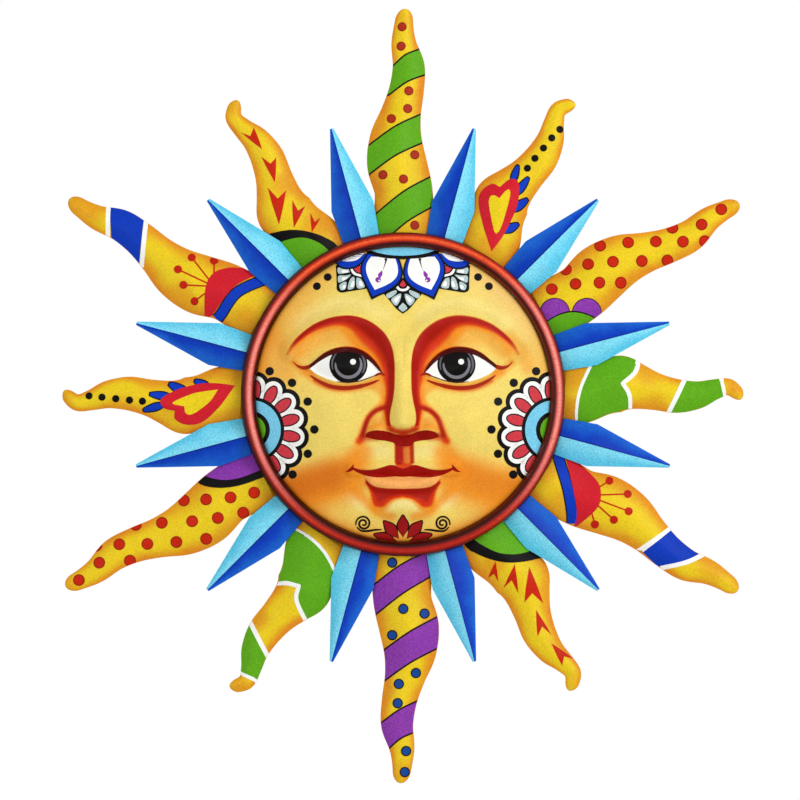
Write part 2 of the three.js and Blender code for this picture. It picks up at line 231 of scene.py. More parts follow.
def grid_sheet(front, thickness):
    """Points and faces of a closed sheet from rows of front points, and how many faces show in front."""
    rows, across = front.shape[:2]
    back = front - (0, thickness, 0)
    points = np.concatenate([front.reshape(-1, 3), back.reshape(-1, 3)])

    def at(i, j, side):
        return side * rows * across + i * across + j

    fore, aft = [], []
    for i in range(rows - 1):
        for j in range(across - 1):
            fore.append((at(i, j, 0), at(i, j + 1, 0), at(i + 1, j + 1, 0), at(i + 1, j, 0)))
            aft.append((at(i, j, 1), at(i + 1, j, 1), at(i + 1, j + 1, 1), at(i, j + 1, 1)))
    edge = [(0, j, 0, j + 1) for j in range(across - 1)]
    edge += [(i, across - 1, i + 1, across - 1) for i in range(rows - 1)]
    edge += [(rows - 1, j + 1, rows - 1, j) for j in range(across - 1)]
    edge += [(i + 1, 0, i, 0) for i in range(rows - 1)]
    walls = [(at(c, d, 0), at(a, b, 0), at(a, b, 1), at(c, d, 1)) for a, b, c, d in edge]
    return points, fore + walls + aft, len(fore) + len(walls)


# Materials


def node(tree, kind, links=None, **settings):
    """Adds a node with its settings, input values and links {input: socket or value}."""
    made = tree.nodes.new(kind)
    for name, value in settings.items():
        setattr(made, name, value)
    for name, source in (links or {}).items():
        target = made.inputs[name]
        if isinstance(source, bpy.types.NodeSocket):
            tree.links.new(source, target)
        else:
            target.default_value = source
    return made


def new_material(name):
    material = bpy.data.materials.new(name)
    material.use_nodes = True
    material.node_tree.nodes.clear()
    return material, material.node_tree


def finish_enamel(tree, base, roughness=0.42, speckle=0.16, specular=0.12):
    """Sprayed enamel on pressed sheet: the eye sees a fine speckle, a faint orange peel and soft gloss.

    Real spray grain is about 0.1 mm, too fine to show, so it is drawn at the size `grain`.
    """
    grain = mm(bpy.context.scene.plaque_sizes.grain)
    where = node(tree, "ShaderNodeTexCoord").outputs["Object"]
    fine = node(tree, "ShaderNodeTexNoise", {
        "Vector": where, "Scale": 1000 / grain, "Detail": 2.0, "Roughness": 0.6})
    broad = node(tree, "ShaderNodeTexNoise", {"Vector": where, "Scale": 90.0, "Detail": 3.0})
    light = node(tree, "ShaderNodeMapRange", {
        "Value": fine.outputs["Fac"], "From Min": 0.3, "From Max": 0.7, "To Min": 1 - speckle,
        "To Max": 1 + speckle * 0.55})
    patch = node(tree, "ShaderNodeMapRange", {
        "Value": broad.outputs["Fac"], "From Min": 0.3, "From Max": 0.7, "To Min": 0.95, "To Max": 1.03})
    both = node(tree, "ShaderNodeMath", {0: light.outputs[0], 1: patch.outputs[0]}, operation="MULTIPLY")
    toned = node(tree, "ShaderNodeVectorMath", {0: base, 1: both.outputs[0]}, operation="MULTIPLY")
    peel = node(tree, "ShaderNodeBump", {
        "Height": fine.outputs["Fac"], "Strength": 0.35, "Distance": 0.00012})
    gloss = node(tree, "ShaderNodeMapRange", {
        "Value": broad.outputs["Fac"], "To Min": roughness - 0.06, "To Max": roughness + 0.08})
    shader = node(tree, "ShaderNodeBsdfPrincipled", {
        "Base Color": toned.outputs[0], "Roughness": gloss.outputs[0], "Normal": peel.outputs[0],
        "Specular IOR Level": specular})
    node(tree, "ShaderNodeOutputMaterial", {"Surface": shader.outputs[0]})


def plain_enamel(name, shade, **finish):
    """One colour all over, from a hex value or a linear colour."""
    material, tree = new_material(name)
    finish_enamel(tree, (linear(shade) if isinstance(shade, str) else tuple(shade))[:3], **finish)
    return material


# Brushed colours of the motifs: the eye sees flat, slightly speckled paint
PAINTS = {
    "black": "#0C0A0A", "grey": "#85848C", "dark_grey": "#66656C", "pale_grey": "#BDD2D2",
    "white": "#FEFEFA", "green": "#62AE1A", "red": "#CC260C", "crimson": "#D6202E", "purple": "#923EB0",
    "blue": "#0C3CBE",
    "brick": "#B0301C", "dark_red": "#98200C", "berry": "#C4220E", "navy": "#17489A",
    "sky": "#7CD0F0", "pink": "#D23C48", "yellow": "#F2D51E", "dark_rust": "#960A02", "lip": "#A00803",
    "lip_light": "#FFB262", "lid": "#460604", "crease": "#A62606", "lotus": "#A01416",
}
# Strength of the speckle in single paints, where it isn't the usual one
SPECKLES = {"white": 0.05, "purple": 0.34}
USUAL_SPECKLE = 0.2


def paint(name):
    """The paint of that name, made once."""
    full = f"brushed_enamel_{name}"
    found = bpy.data.materials.get(full)
    return found or plain_enamel(
        full, PAINTS[name], roughness=0.4, specular=0.08, speckle=SPECKLES.get(name, USUAL_SPECKLE))


# Paint films in mm: front over the sheet, foot under its face, and what a level adds below and above STACKED
FILM_FRONT, FILM_FOOT = 0.1, 0.05
LOWER_STEP, UPPER_STEP, STACKED = 0.05, 0.032, 4
LEAST_TURN = 1e-6  # twice the area of the smallest triangle kept, in mm2
CORNER_GAP = 1e-4  # points closer than this in mm are one
FEW_POINTS = 12  # a brush line with fewer points is made soft
BROAD = 3.5  # pixels; a broader line gets more rows, to lie well on the relief


class Films:
    """Thin closed films of paint laid on a curved surface, joined into one piece for each colour."""

    def __init__(self, name, to_plaque, lift, grid=1.0):
        self.name, self.to_plaque, self.lift, self.grid, self.made = name, to_plaque, lift, grid, {}

    def _add(self, colour_name, flat, triangles, level):
        """flat: points on the plaque in mm; triangles are turned to face the viewer."""
        flat = np.asarray(flat, float)
        triangles = np.asarray(triangles, int)
        if not len(triangles):
            return
        top, inside = self.lift(flat)
        triangles = triangles[inside[triangles].any(axis=1)]
        a, b, c = (flat[triangles[:, k]] for k in range(3))
        turn = (b[:, 0] - a[:, 0]) * (c[:, 1] - a[:, 1]) - (c[:, 0] - a[:, 0]) * (b[:, 1] - a[:, 1])
        triangles = triangles[np.abs(turn) > LEAST_TURN]
        turn = turn[np.abs(turn) > LEAST_TURN]
        triangles[turn < 0] = triangles[turn < 0][:, [0, 2, 1]]
        base = top.copy()
        top[:, 1] += FILM_FRONT + LOWER_STEP * min(level, STACKED) + UPPER_STEP * max(level - STACKED, 0)
        base[:, 1] -= FILM_FOOT
        count = len(flat)
        points, faces = self.made.setdefault(colour_name, ([], []))
        start = sum(len(p) for p in points)
        sides = {(t[i], t[(i + 1) % 3]) for t in triangles.tolist() for i in range(3)}
        faces += [(start + a, start + b, start + c) for a, b, c in triangles.tolist()]
        back = start + count
        faces += [(back + c, back + b, back + a) for a, b, c in triangles.tolist()]
        faces += [(start + b, start + a, back + a, back + b) for a, b in sides if (b, a) not in sides]
        points.append(np.concatenate([top, base]))

    def fill(self, colour_name, shape, level=1, grid=None):
        """Fills a closed outline given in the photograph's pixels."""
        grid = grid or self.grid
        border = np.array([self.to_plaque(*p) for p in shape])
        low, high = border.min(0), border.max(0)
        inner = [(x, z) for x in np.arange(low[0] + grid / 2, high[0], grid)
                 for z in np.arange(low[1] + grid / 2, high[1], grid)]
        points = [Vector(p) for p in border] + [Vector(p) for p in inner]
        verts, _, triangles, *_ = delaunay_2d_cdt(points, [], [list(range(len(border)))], 1, CORNER_GAP)
        self._add(colour_name, verts, triangles, level)

    def stroke(self, colour_name, path, width, level=2, ends=1.0):
        """A brush line of that width in pixels; `ends` is its width there as a share."""
        path = np.array(smooth(path) if len(path) < FEW_POINTS else path, float)
        way = np.gradient(path, axis=0)
        way /= np.maximum(np.linalg.norm(way, axis=1, keepdims=True), 1e-9)
        side = np.stack([-way[:, 1], way[:, 0]], axis=1)
        share = np.linspace(0, 1, len(path))
        half = 0.5 * width * (ends + (1 - ends) * np.sqrt(np.clip(1 - (2 * share - 1) ** 2, 0, 1)))
        rows = (-1, 0, 1) if width < BROAD else (-1, -0.5, 0, 0.5, 1)
        flat = [self.to_plaque(*p) for k in rows for p in path + side * half[:, None] * k]
        n = len(path)
        triangles = []
        for row in range(len(rows) - 1):
            for i in range(n - 1):
                a, b, c, d = row * n + i, row * n + i + 1, (row + 1) * n + i + 1, (row + 1) * n + i
                triangles += [(a, c, b), (a, d, c)]
        self._add(colour_name, flat, triangles, level)

    def dot(self, colour_name, centre, radius, level=2):
        self.fill(colour_name, ellipse(centre, radius, radius, sides=26), level)

    def draw(self, shapes, half):
        """Fills shapes given as colour, level and soft points or the pieces between corners."""
        for colour_name, level, shape in shapes:
            soft = np.ndim(shape[0]) == 1
            made = (ring([half(p) for p in shape]) if soft
                    else outline(*[[half(p) for p in piece] for piece in shape]))
            self.fill(colour_name, made, level)

    def build(self, slot):
        """Makes one piece of each colour, without the points that no face uses."""
        for colour_name, (points, faces) in self.made.items():
            piece = mesh_piece(f"{self.name}_{colour_name}", np.concatenate(points), faces,
                               [paint(colour_name)])
            loose = bmesh.new()
            loose.from_mesh(piece.data)
            bmesh.ops.delete(loose, geom=[v for v in loose.verts if not v.link_faces], context="VERTS")
            loose.to_mesh(piece.data)
            loose.free()
            dress(piece, slot)


# The sheet-metal forms, as surfaces that paint can be laid on


def depths(name):
    """Depths in mm of the front and of the rear of a CAD node."""
    low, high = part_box(name)
    return -mm(low[1]), -mm(high[1])


def rim_radius():
    """Outside of the rim hoop in mm."""
    return mm(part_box("rim_hoop")[1][0])


DOME_EDGE_BELOW_HOOP = 2.2  # mm

# Relief of the face, the same on both sides: [x, z, half width, half height, rise] in mm
SWELLINGS = [
    (0, -12, 11.5, 12.5, 2.4), (13.5, -18.5, 8, 7, 4.2), (29.6, 14.5, 20, 11, 4.6), (20, 21, 16, 15, -3),
    (38, -14, 24, 20, 3), (0, -57, 17, 11, 3), (0, -51.5, 17, 3.5, -1.4),
    (29.2, 15.0, 11, 8.6, 0.7),  # roundness of the eyeball between its lids
]
# Ridges: (rise, half width, points)
RIDGES = [
    (2.6, 8, ((5, 18), (9, 31), (20, 38.5), (30, 39.7), (44, 34), (57, 22))),
    (2.8, 5, ((0, -39.4), (10, -38), (26, -39))),
    (3.4, 5.4, ((0, -47), (7, -46.8), (15, -45))),
    (0.9, 1.7, ((11.5, 11.5), (18, 19.5), (28.5, 23.6), (39, 20), (48, 13.2))),  # upper lid
    (0.7, 1.6, ((12, 9.5), (22, 5.2), (33, 4.6), (43, 8.5), (48, 12.5))),  # lower lid
    (-0.8, 2.0, ((0, -42.6), (12, -42.2), (28, -39.2))),  # line of the mouth
    (-0.8, 2.6, ((0, -25), (0, -35.5))),  # groove under the nose
]
NOSE = {"top": 34, "root": 24, "tip": -16, "foot": -23.5, "root_half": 7, "tip_half": 11.5,
        "root_rise": 2.5, "tip_rise": 7.5}


def distance_to(points, x, z):
    """Distance of each (x, z) to a line of points, and how far along it the nearest place is, 0 to 1."""
    least = np.full(np.shape(x), 1e9)
    share = np.zeros(np.shape(x))
    count = len(points) - 1
    for i in range(count):
        (ax, az), (bx, bz) = points[i], points[i + 1]
        dx, dz = bx - ax, bz - az
        t = np.clip(((x - ax) * dx + (z - az) * dz) / (dx * dx + dz * dz), 0, 1)
        away = np.hypot(x - ax - t * dx, z - az - t * dz)
        share = np.where(away < least, (i + t) / count, share)
        least = np.minimum(least, away)
    return least, share


def ease(low, high, value):
    t = np.clip((value - low) / (high - low), 0, 1)
    return t * t * (3 - 2 * t)


def relief(x, z):
    x = np.abs(x)
    rise = np.zeros(np.shape(x))
    for cx, cz, half_width, half_height, height in SWELLINGS:
        q = ((x - cx) / half_width) ** 2 + ((z - cz) / half_height) ** 2
        rise += height * np.maximum(0, 1 - q) ** 2
    for height, half_width, points in RIDGES:
        rise += height * np.maximum(0, 1 - (distance_to(points, x, z)[0] / half_width) ** 2) ** 2
    along = np.clip((NOSE["root"] - z) / (NOSE["root"] - NOSE["tip"]), 0, 1)
    half = NOSE["root_half"] + (NOSE["tip_half"] - NOSE["root_half"]) * along
    ends = (1 - ease(NOSE["root"], NOSE["top"], z)) * ease(NOSE["foot"], NOSE["tip"], z)
    top = NOSE["root_rise"] + (NOSE["tip_rise"] - NOSE["root_rise"]) * along
    return rise + top * ends * np.maximum(0, 1 - (x / half) ** 2) ** 2


BEND_FALL = 0.55  # how far the bend falls beyond its lean, as a share of its radius
PAINT_UNDER_RIM = 2.5  # mm that paint on the face may run past its edge


def face_profile():
    """Measures of the face in mm: radius, edge of the dome, bend, rise, depth of the edge and lean there."""
    s = bpy.context.scene.plaque_sizes
    radius, bend, rise = mm(s.dish_radius), mm(s.edge_round), mm(s.dome_rise)
    edge_depth = depths("rim_hoop")[0] - DOME_EDGE_BELOW_HOOP
    edge = radius - bend
    lean = 2 * rise / edge
    return radius, edge, bend, rise, edge_depth, lean


def lift_face(flat):
    """Puts points (x, z) of the face on its surface; those past the rim are drawn in under it."""
    radius, edge, bend, rise, edge_depth, lean = face_profile()
    flat = np.asarray(flat, float)
    r = np.hypot(flat[:, 0], flat[:, 1])
    limit = edge + PAINT_UNDER_RIM
    flat = flat * np.minimum(1, limit / np.maximum(r, 1e-9))[:, None]
    x, z = flat[:, 0], flat[:, 1]
    f = np.clip((np.hypot(x, z) - edge) / bend, 0, 1)
    depth = np.where(r < edge, edge_depth + rise * (1 - (np.hypot(x, z) / edge) ** 2),
                     edge_depth - bend * (lean * f + BEND_FALL * f ** 3))
    return np.stack([x, depth + relief(x, z), z], axis=1), r < limit


# Rays: stations from the rim to the tip, in hundredths of the reach and of the half width:
# (along, shift clockwise, half width)
LONG_RAY = ((0, 0, 91), (7.5, 2.5, 97), (19.5, 1.5, 94.5), (31.4, -20, 97), (42.6, -22, 85),
            (53.7, -5.5, 65.4), (64, 12, 56.7), (74.3, 18.7, 52.2), (84.6, 3, 40.8), (93.1, 3, 31),
            (100, 9, 26))
SHORT_RAY = ((0, -1.5, 89), (8.7, -0.7, 95), (21.5, -22, 88), (32.5, -36, 91.4), (42.8, -23.7, 72),
             (52.7, -8.4, 59.5), (64.2, 4.3, 54.6), (75.6, 0, 44.6), (84.9, -17.4, 33.4),
             (92.6, -25, 27.4), (97.5, -6, 22), (100, 14, 16))
RAY_CROWN = 0.42  # crown height over half width
TAB_HALF, TAB_INNER, TAB_OUTER = 7.0, 64.2, 77.0  # mm
LONG_TIP, SHORT_TIP = 6.0, 4.0  # mm of a ray's end that is rounded
CURVE_STEP = 0.35  # mm between the samples of a ray's middle line
WAY_SPAN = 16  # samples to either side that give the way along a ray
LEAST_END = 0.0004  # keeps the last row of a ray from closing to a point
RIDGE_BLUNT = 0.1  # rounding of the ridge, as a share of the half width
ROOT_OVERRUN, END_OVERRUN = 2.0, 1.5  # mm that paint may run past a ray's root and its end
PAINT_SHARE = 0.985  # share of the half width that paint may reach


class Ray:
    """One wavy ray: a convex strip with a soft ridge, `number` steps clockwise from the top."""

    def __init__(self, number):
        s = bpy.context.scene.plaque_sizes
        long = number % 2 == 0
        self.turn = number * STEP
        self.edge = mm(s.ray_edge)
        self.rim = rim_radius()
        reach, self.tip = (mm(s.long_reach), LONG_TIP) if long else (mm(s.short_reach), SHORT_TIP)
        half = mm(s.ray_half_width)
        points = [(a / 100 * reach + self.rim, b / 100 * half, c / 100 * half)
                  for a, b, c in (LONG_RAY if long else SHORT_RAY)]
        curve = np.array(smooth(points, CURVE_STEP))
        # The way along the ray is taken over a length, so that rows don't cross where it bends hard
        place = np.arange(len(curve))
        ahead = np.minimum(place + WAY_SPAN, len(curve) - 1)
        behind = np.maximum(place - WAY_SPAN, 0)
        way = curve[ahead, :2] - curve[behind, :2]
        self.way = way / np.linalg.norm(way, axis=1, keepdims=True)
        run = np.concatenate([[0], np.cumsum(np.linalg.norm(np.diff(curve[:, :2], axis=0), axis=1))])
        rest = run[-1] - run
        self.run, self.along, self.shift = run, curve[:, 0], curve[:, 1]
        rounding = np.clip(1 - (1 - np.minimum(1, rest / self.tip)) ** 2, LEAST_END, 1)
        self.half = curve[:, 2] * np.sqrt(rounding)

    def surface(self, i, v):
        """Local points for curve samples i and places across v, -1 to 1."""
        half = self.half[i]
        side = half * v
        x = self.shift[i] + self.way[i, 0] * side
        z = self.along[i] - self.way[i, 1] * side
        ridge = (np.sqrt(v * v + RIDGE_BLUNT ** 2) - RIDGE_BLUNT) / 0.905  # |v| with its corner rounded
        crown = RAY_CROWN * half * (0.45 * (1 - ridge) + 0.55 * (1 - v * v))
        return np.stack([x, self.edge + crown, z], axis=-1)

    def turned(self, local):
        c, s = math.cos(self.turn), math.sin(self.turn)
        out = local.copy()
        out[..., 0] = local[..., 0] * c + local[..., 2] * s
        out[..., 2] = -local[..., 0] * s + local[..., 2] * c
        return out

    def lift(self, flat):
        """Puts points (x, z) on the ray; those past its outline are drawn in to it."""
        flat = np.asarray(flat, float)
        c, s = math.cos(self.turn), math.sin(self.turn)
        x = flat[:, 0] * c - flat[:, 1] * s
        z = flat[:, 0] * s + flat[:, 1] * c
        gap = (x[:, None] - self.shift) ** 2 + (z[:, None] - self.along) ** 2
        i = gap.argmin(axis=1)
        dx, dz = x - self.shift[i], z - self.along[i]
        side = dx * self.way[i, 0] - dz * self.way[i, 1]
        onward = np.clip(dx * self.way[i, 1] + dz * self.way[i, 0], -CURVE_STEP, CURVE_STEP)
        onward = np.where(i == 0, np.clip(dz, -ROOT_OVERRUN, CURVE_STEP), onward)
        beyond = np.abs(dx * self.way[i, 1] + dz * self.way[i, 0])
        inside = (np.abs(side) < self.half[i] * PAINT_SHARE) & (beyond < END_OVERRUN)
        v = np.clip(side / self.half[i], -PAINT_SHARE, PAINT_SHARE)
        local = self.surface(i, v)
        local[:, 0] += onward * self.way[i, 1]
        local[:, 2] += onward * self.way[i, 0]
        return self.turned(local), inside | ((i == 0) & (dz > -ROOT_OVERRUN) & (np.abs(v) < 0.98))


MM_PER_PIXEL = 0.5175
# Middle of the rays and of the face in the photograph, in pixels, and mm a pixel across and upward
RAY_MIDDLE, RAY_SCALE = (402.6, 395.4), (0.5148, 0.5170)
FACE_MIDDLE, FACE_SCALE = (403.5, 393.5), (0.5148, 0.5155)


def on_rays(px, py):
    """Where a pixel of the photograph lies on the rays, in mm."""
    return (px - RAY_MIDDLE[0]) * RAY_SCALE[0], (RAY_MIDDLE[1] - py) * RAY_SCALE[1]


def on_face(px, py):
    """Where a pixel of the photograph lies on the face, in mm."""
    return (px - FACE_MIDDLE[0]) * FACE_SCALE[0], (FACE_MIDDLE[1] - py) * FACE_SCALE[1]


def left_half(p):
    return p[0], p[1]


def right_half(p):
    """The mirror image of p on the right half of the face."""
    return 2 * FACE_MIDDLE[0] - p[0], p[1]


# Rays and their paint


def from_ridge(tree, scale, detail, strength):
    """The paint coordinates, the distance from the ridge, and that distance with cloudy drift added."""
    uv = node(tree, "ShaderNodeSeparateXYZ", {0: node(tree, "ShaderNodeUVMap", uv_map="UVMap").outputs[0]})
    where = node(tree, "ShaderNodeTexCoord").outputs["Object"]
    cloud = node(tree, "ShaderNodeTexNoise", {"Vector": where, "Scale": scale, "Detail": detail})
    across = node(tree, "ShaderNodeMath", {0: uv.outputs["X"], 1: 0.5}, operation="SUBTRACT")
    away = node(tree, "ShaderNodeMath", {0: across.outputs[0]}, operation="ABSOLUTE")
    drift = node(tree, "ShaderNodeMath", {0: cloud.outputs["Fac"], 1: strength, 2: away.outputs[0]},
                 operation="MULTIPLY_ADD")
    return uv, away, drift


def ray_enamel():
    """Airbrushed enamel: the eye sees clear yellow along the ridge that turns orange at the edges."""
    colours = bpy.context.scene.plaque_colours
    material, tree = new_material("airbrushed_ray_enamel")
    uv, _, drift = from_ridge(tree, 55.0, 2.0, 0.34)
    spread = node(tree, "ShaderNodeMapRange", {
        "Value": drift.outputs[0], "From Min": 0.34, "From Max": 0.68}, interpolation_type="SMOOTHSTEP")
    root = node(tree, "ShaderNodeMapRange", {
        "Value": uv.outputs["Y"], "From Min": 0.2, "From Max": 0.0, "To Max": 0.2},
        interpolation_type="SMOOTHSTEP")
    shade = node(tree, "ShaderNodeMath", {0: spread.outputs[0], 1: root.outputs[0]}, operation="ADD",
                 use_clamp=True)
    base = node(tree, "ShaderNodeMix", {0: shade.outputs[0], 6: colours.ray, 7: colours.ray_edge},
                data_type="RGBA")
    amber = node(tree, "ShaderNodeAttribute", attribute_name="amber")
    warm = node(tree, "ShaderNodeMix", {0: amber.outputs["Fac"], 6: base.outputs[2], 7: linear("#E8A01E")},
                data_type="RGBA")
    finish_enamel(tree, warm.outputs[2])
    return material


# Places that are sprayed amber, by ray number: x, y and reach in the photograph's pixels, and strength
WARM = {
    0: ((376, 125, 14, 0.8), (372, 200, 12, 0.5), (425, 205, 14, 0.6), (404, 20, 10, 0.4)),
    1: ((484, 205, 14, 0.7), (488, 250, 20, 0.8), (540, 190, 14, 0.5)),
    2: ((640, 292, 26, 0.8), (690, 262, 24, 0.8), (735, 206, 16, 0.6), (548, 272, 18, 0.7),
        (600, 305, 16, 0.5)),
    3: ((572, 374, 26, 0.9), (572, 410, 18, 0.9), (648, 372, 22, 0.7), (655, 405, 18, 0.6),
        (737, 386, 18, 0.95)),
    4: ((546, 470, 18, 0.7), (564, 505, 22, 0.7), (620, 545, 20, 0.5), (716, 562, 30, 0.75),
        (740, 582, 16, 0.6)),
    5: ((494, 562, 18, 0.8), (550, 590, 20, 0.7), (560, 640, 16, 0.5), (582, 682, 18, 0.7)),
    6: ((424, 545, 14, 0.6), (430, 622, 14, 0.5), (386, 690, 14, 0.6), (404, 772, 18, 0.6),
        (428, 690, 12, 0.4)),
    7: ((256, 618, 18, 0.9), (298, 582, 10, 0.4), (240, 690, 18, 0.95), (330, 540, 16, 0.5)),
    8: ((64, 588, 22, 0.75), (230, 540, 24, 0.8), (256, 500, 14, 0.3), (100, 545, 14, 0.5),
        (150, 572, 16, 0.5)),
    9: ((232, 372, 20, 0.9), (236, 422, 20, 0.8), (150, 376, 22, 0.7), (60, 396, 18, 0.7),
        (120, 412, 22, 0.6), (198, 372, 16, 0.7), (170, 408, 22, 0.5)),
    10: ((84, 206, 32, 0.9), (246, 322, 22, 0.8), (180, 296, 20, 0.7), (250, 262, 14, 0.7),
         (150, 232, 14, 0.4)),
    11: ((232, 106, 18, 0.7), (284, 186, 18, 0.8), (316, 226, 24, 0.8), (248, 205, 16, 0.6),
         (240, 150, 12, 0.4)),
}
AMBER_CORE = 0.25  # share of its reach over which the amber keeps its strength


def amber_amount(number, points):
    """How much amber each point (x, depth, z) of a ray gets."""
    amount = np.zeros(len(points))
    for px, py, reach, strength in WARM[number]:
        x, z = on_rays(px, py)
        away = np.hypot(points[:, 0] - x, points[:, 2] - z) / (reach * MM_PER_PIXEL)
        amount = np.maximum(amount, strength * (1 - ease(AMBER_CORE, 1, away)))
    return amount


# Painted motifs of the rays, by ray number clockwise from the top, in the photograph's pixels

# Slanting bands: colour, then for each band the ends of its upper and of its lower line
BANDS = {
    0: ("green", (
        (((393.6, 65.1), (418.1, 49.7)), ((390.2, 94.1), (424.9, 75))),
        (((369.8, 144.6), (421.1, 114.3)), ((369.5, 174.5), (421.9, 143.4))),
        (((377.5, 212.8), (430.3, 177.1)), ((384.7, 241.5), (432.1, 207.4))),
    )),
    6: ("purple", (
        (((374.8, 583.9), (422.1, 553.3)), ((376.5, 613.8), (429.5, 577.3))),
        (((383.9, 649.4), (437.8, 616.3)), ((385.6, 679.3), (437.8, 647.8))),
        (((381.5, 721.6), (417.9, 700)), ((388.9, 747.3), (413.8, 731.5))),
    )),
}

# Round seeds: colour of the edge, colour, radius, width of the edge and places
SEEDS = {
    0: ("dark_red", "brick", 4.6, 1,
        ((401.8, 27.2), (400.8, 46.8), (408.6, 91.8), (407.5, 109.6), (391, 119.7), (414.5, 155.8),
         (382.5, 176), (403.2, 180.6), (414.5, 226.5))),
    6: ("black", "navy", 5.2, 1.2,
        ((391.9, 562.9), (403, 608.8), (424.2, 613.5), (391.9, 635), (415.6, 672.6), (398.5, 683.4),
         (397.4, 702.5), (405.8, 750.1), (404.5, 771))),
    2: ("dark_red", "red", 5.9, 1,
        ((722, 210.2), (702.1, 225.5), (683.3, 242.8), (656.2, 242.5), (628.4, 243.5), (600.4, 246.6),
         (673, 228.7), (705.5, 242), (588.1, 265.4), (612.9, 263.1), (642, 262.2), (667.9, 261.4),
         (565.9, 270.3), (551.8, 290.2), (575.4, 285.2), (599.3, 284.1), (621, 283.8))),
    8: ("dark_red", "red", 5.9, 1,
        ((78.6, 580.2), (99, 562.9), (95.7, 545.9), (119, 544.6), (147.2, 544.3), (129.6, 561),
         (135.2, 525.2), (161.5, 523.2), (176.2, 542.4), (192.1, 521.7), (205.9, 539.2), (183.4, 500.9),
         (205.9, 500), (217.7, 518.5), (230.4, 498.1), (242.9, 513.2), (254, 493.3))),
}

# Hearts: petals behind (root, tip, half width), heart, heart in it, dots to the tip
HEARTS = {
    1: (
        (((513, 182), (517.8, 166.3), 3.0), ((517.5, 194), (528.2, 179), 3.3),
         ((515, 210), (527.4, 200.2), 3.7), ((507.5, 231), (518.3, 225), 3.7)),
        ([(491.4, 252.8), (483, 227), (478.3, 202.4), (482.1, 191), (492.3, 184.6)],
         [(499.9, 188.2), (508.9, 180.8), (516.5, 181.4), (519.1, 189.7), (516.5, 208.8), (503.8, 235.6)]),
        ([(496.2, 235.2), (493.8, 232), (490.6, 217), (488.6, 203.4), (490.6, 197.4), (495, 197)],
         [(499.2, 199.8), (505, 192.8), (508.9, 191), (509.9, 197.3), (503.9, 220), (499.4, 231.6)]),
        ((527.4, 169.3), (535, 159.3), (543.6, 149), (552, 138.8), (560.3, 130))),
    9: (
        (((207, 388), (194.2, 381.4), 3.8), ((185, 393), (168.6, 384.6), 4.2),
         ((170, 398), (149.6, 395), 3.5), ((162, 406), (143, 411), 3.3)),
        ([(234.6, 386.6), (216, 384.2), (198.7, 384.7), (176.7, 390.6), (160.6, 400.1), (163.5, 408.9)],
         [(174.5, 411.9), (174.5, 419.9), (185.5, 425.4), (201.6, 422.9), (219.2, 407.5)]),
        ([(217.8, 390.6), (204, 392.4), (191.4, 395), (172.3, 403.8)],
         [(184, 407.5), (185.5, 414.1), (192.8, 414.8), (209, 403.1)]),
        ((141.9, 402.1), (128.9, 401), (115.1, 399.6), (101.3, 398), (88.2, 396.6))),
}

# Flowers: band across the root, half-disc, stamens and the place where they meet
FLOWERS = {
    4: (
        [(556.5, 452), (560.6, 466), (567.5, 490), (571.5, 512), (572, 524)],
        ([(565.5, 457.5), (578.2, 463.6), (596.5, 481.2), (600.4, 495), (596.5, 508.8), (581.2, 523.3)],
         [(574, 528), (576.4, 512), (572.5, 489)]),
        ((609.2, 481.2), (627.5, 494.5), (628.2, 511.8), (613.4, 520.3), (594.7, 524.9)), (586, 496)),
    10: (
        [(216, 320), (220.3, 315.4), (236.5, 294), (261, 281.5), (268, 280)],
        ([(204, 322), (204.7, 292.5), (211.5, 275.6), (226.8, 268.7), (246.7, 269.5)],
         [(258, 274), (233, 289), (213, 314)]),
        ((190.9, 258.3), (213.1, 261.4), (177.4, 270.7), (182.9, 286.3), (193.9, 302.4)), (214, 288)),
}

# Heart-shaped petals: tip, two lobes and the notch between them
PETALS = {
    5: (((495.1, 561.9), (487.8, 578), (497.9, 581.8), (493.6, 574.1)),
        ((514.2, 564.6), (503.5, 587.9), (517.8, 593.3), (511.2, 580.3)),
        ((528.8, 567.2), (523.9, 602.5), (542.9, 603.2), (531.8, 593.3)),
        ((535.7, 610.1), (537.2, 636.1), (551, 634.6), (541.8, 626.2)),
        ((551, 643), (561.7, 665.2), (572.9, 658.3), (563.7, 656))),
    11: (((261.4, 150.2), (240.3, 133.3), (253, 128.4), (249.5, 137.2)),
         ((274.3, 183.5), (260.7, 157.9), (275.4, 158.6), (269.8, 164.9)),
         ((278.5, 225.9), (267, 188.7), (285.5, 191.5), (277.2, 200)),
         ((293.4, 229.2), (291.8, 201.4), (304.6, 207), (297.6, 211.9)),
         ((311.5, 233.6), (309.8, 214), (320, 218.5), (314.4, 223.1))),
}

# Leaves: line before them, scalloped line, foot, lines of the gap and of the tip, belly
LEAVES = {
    3: (
        [(596, 356), (588, 372), (580.7, 388.2), (577, 404), (575.4, 428)],
        [(640, 356), (636, 372), (622.5, 384.6), (629.5, 397.1), (630, 419)],
        (604, 427), [(688, 374), (667.5, 416)], [(719.5, 372), (726, 399)], (702, 414)),
    7: (
        [(290, 524), (304, 533.5), (320.3, 547.7), (330, 562), (338, 580)],
        [(268, 585), (284, 583), (298.5, 586.2), (296.5, 601), (308, 626)],
        (336, 604), [(247, 617), (268.5, 658)], [(235, 671), (260, 681.5)], (270, 668)),
}

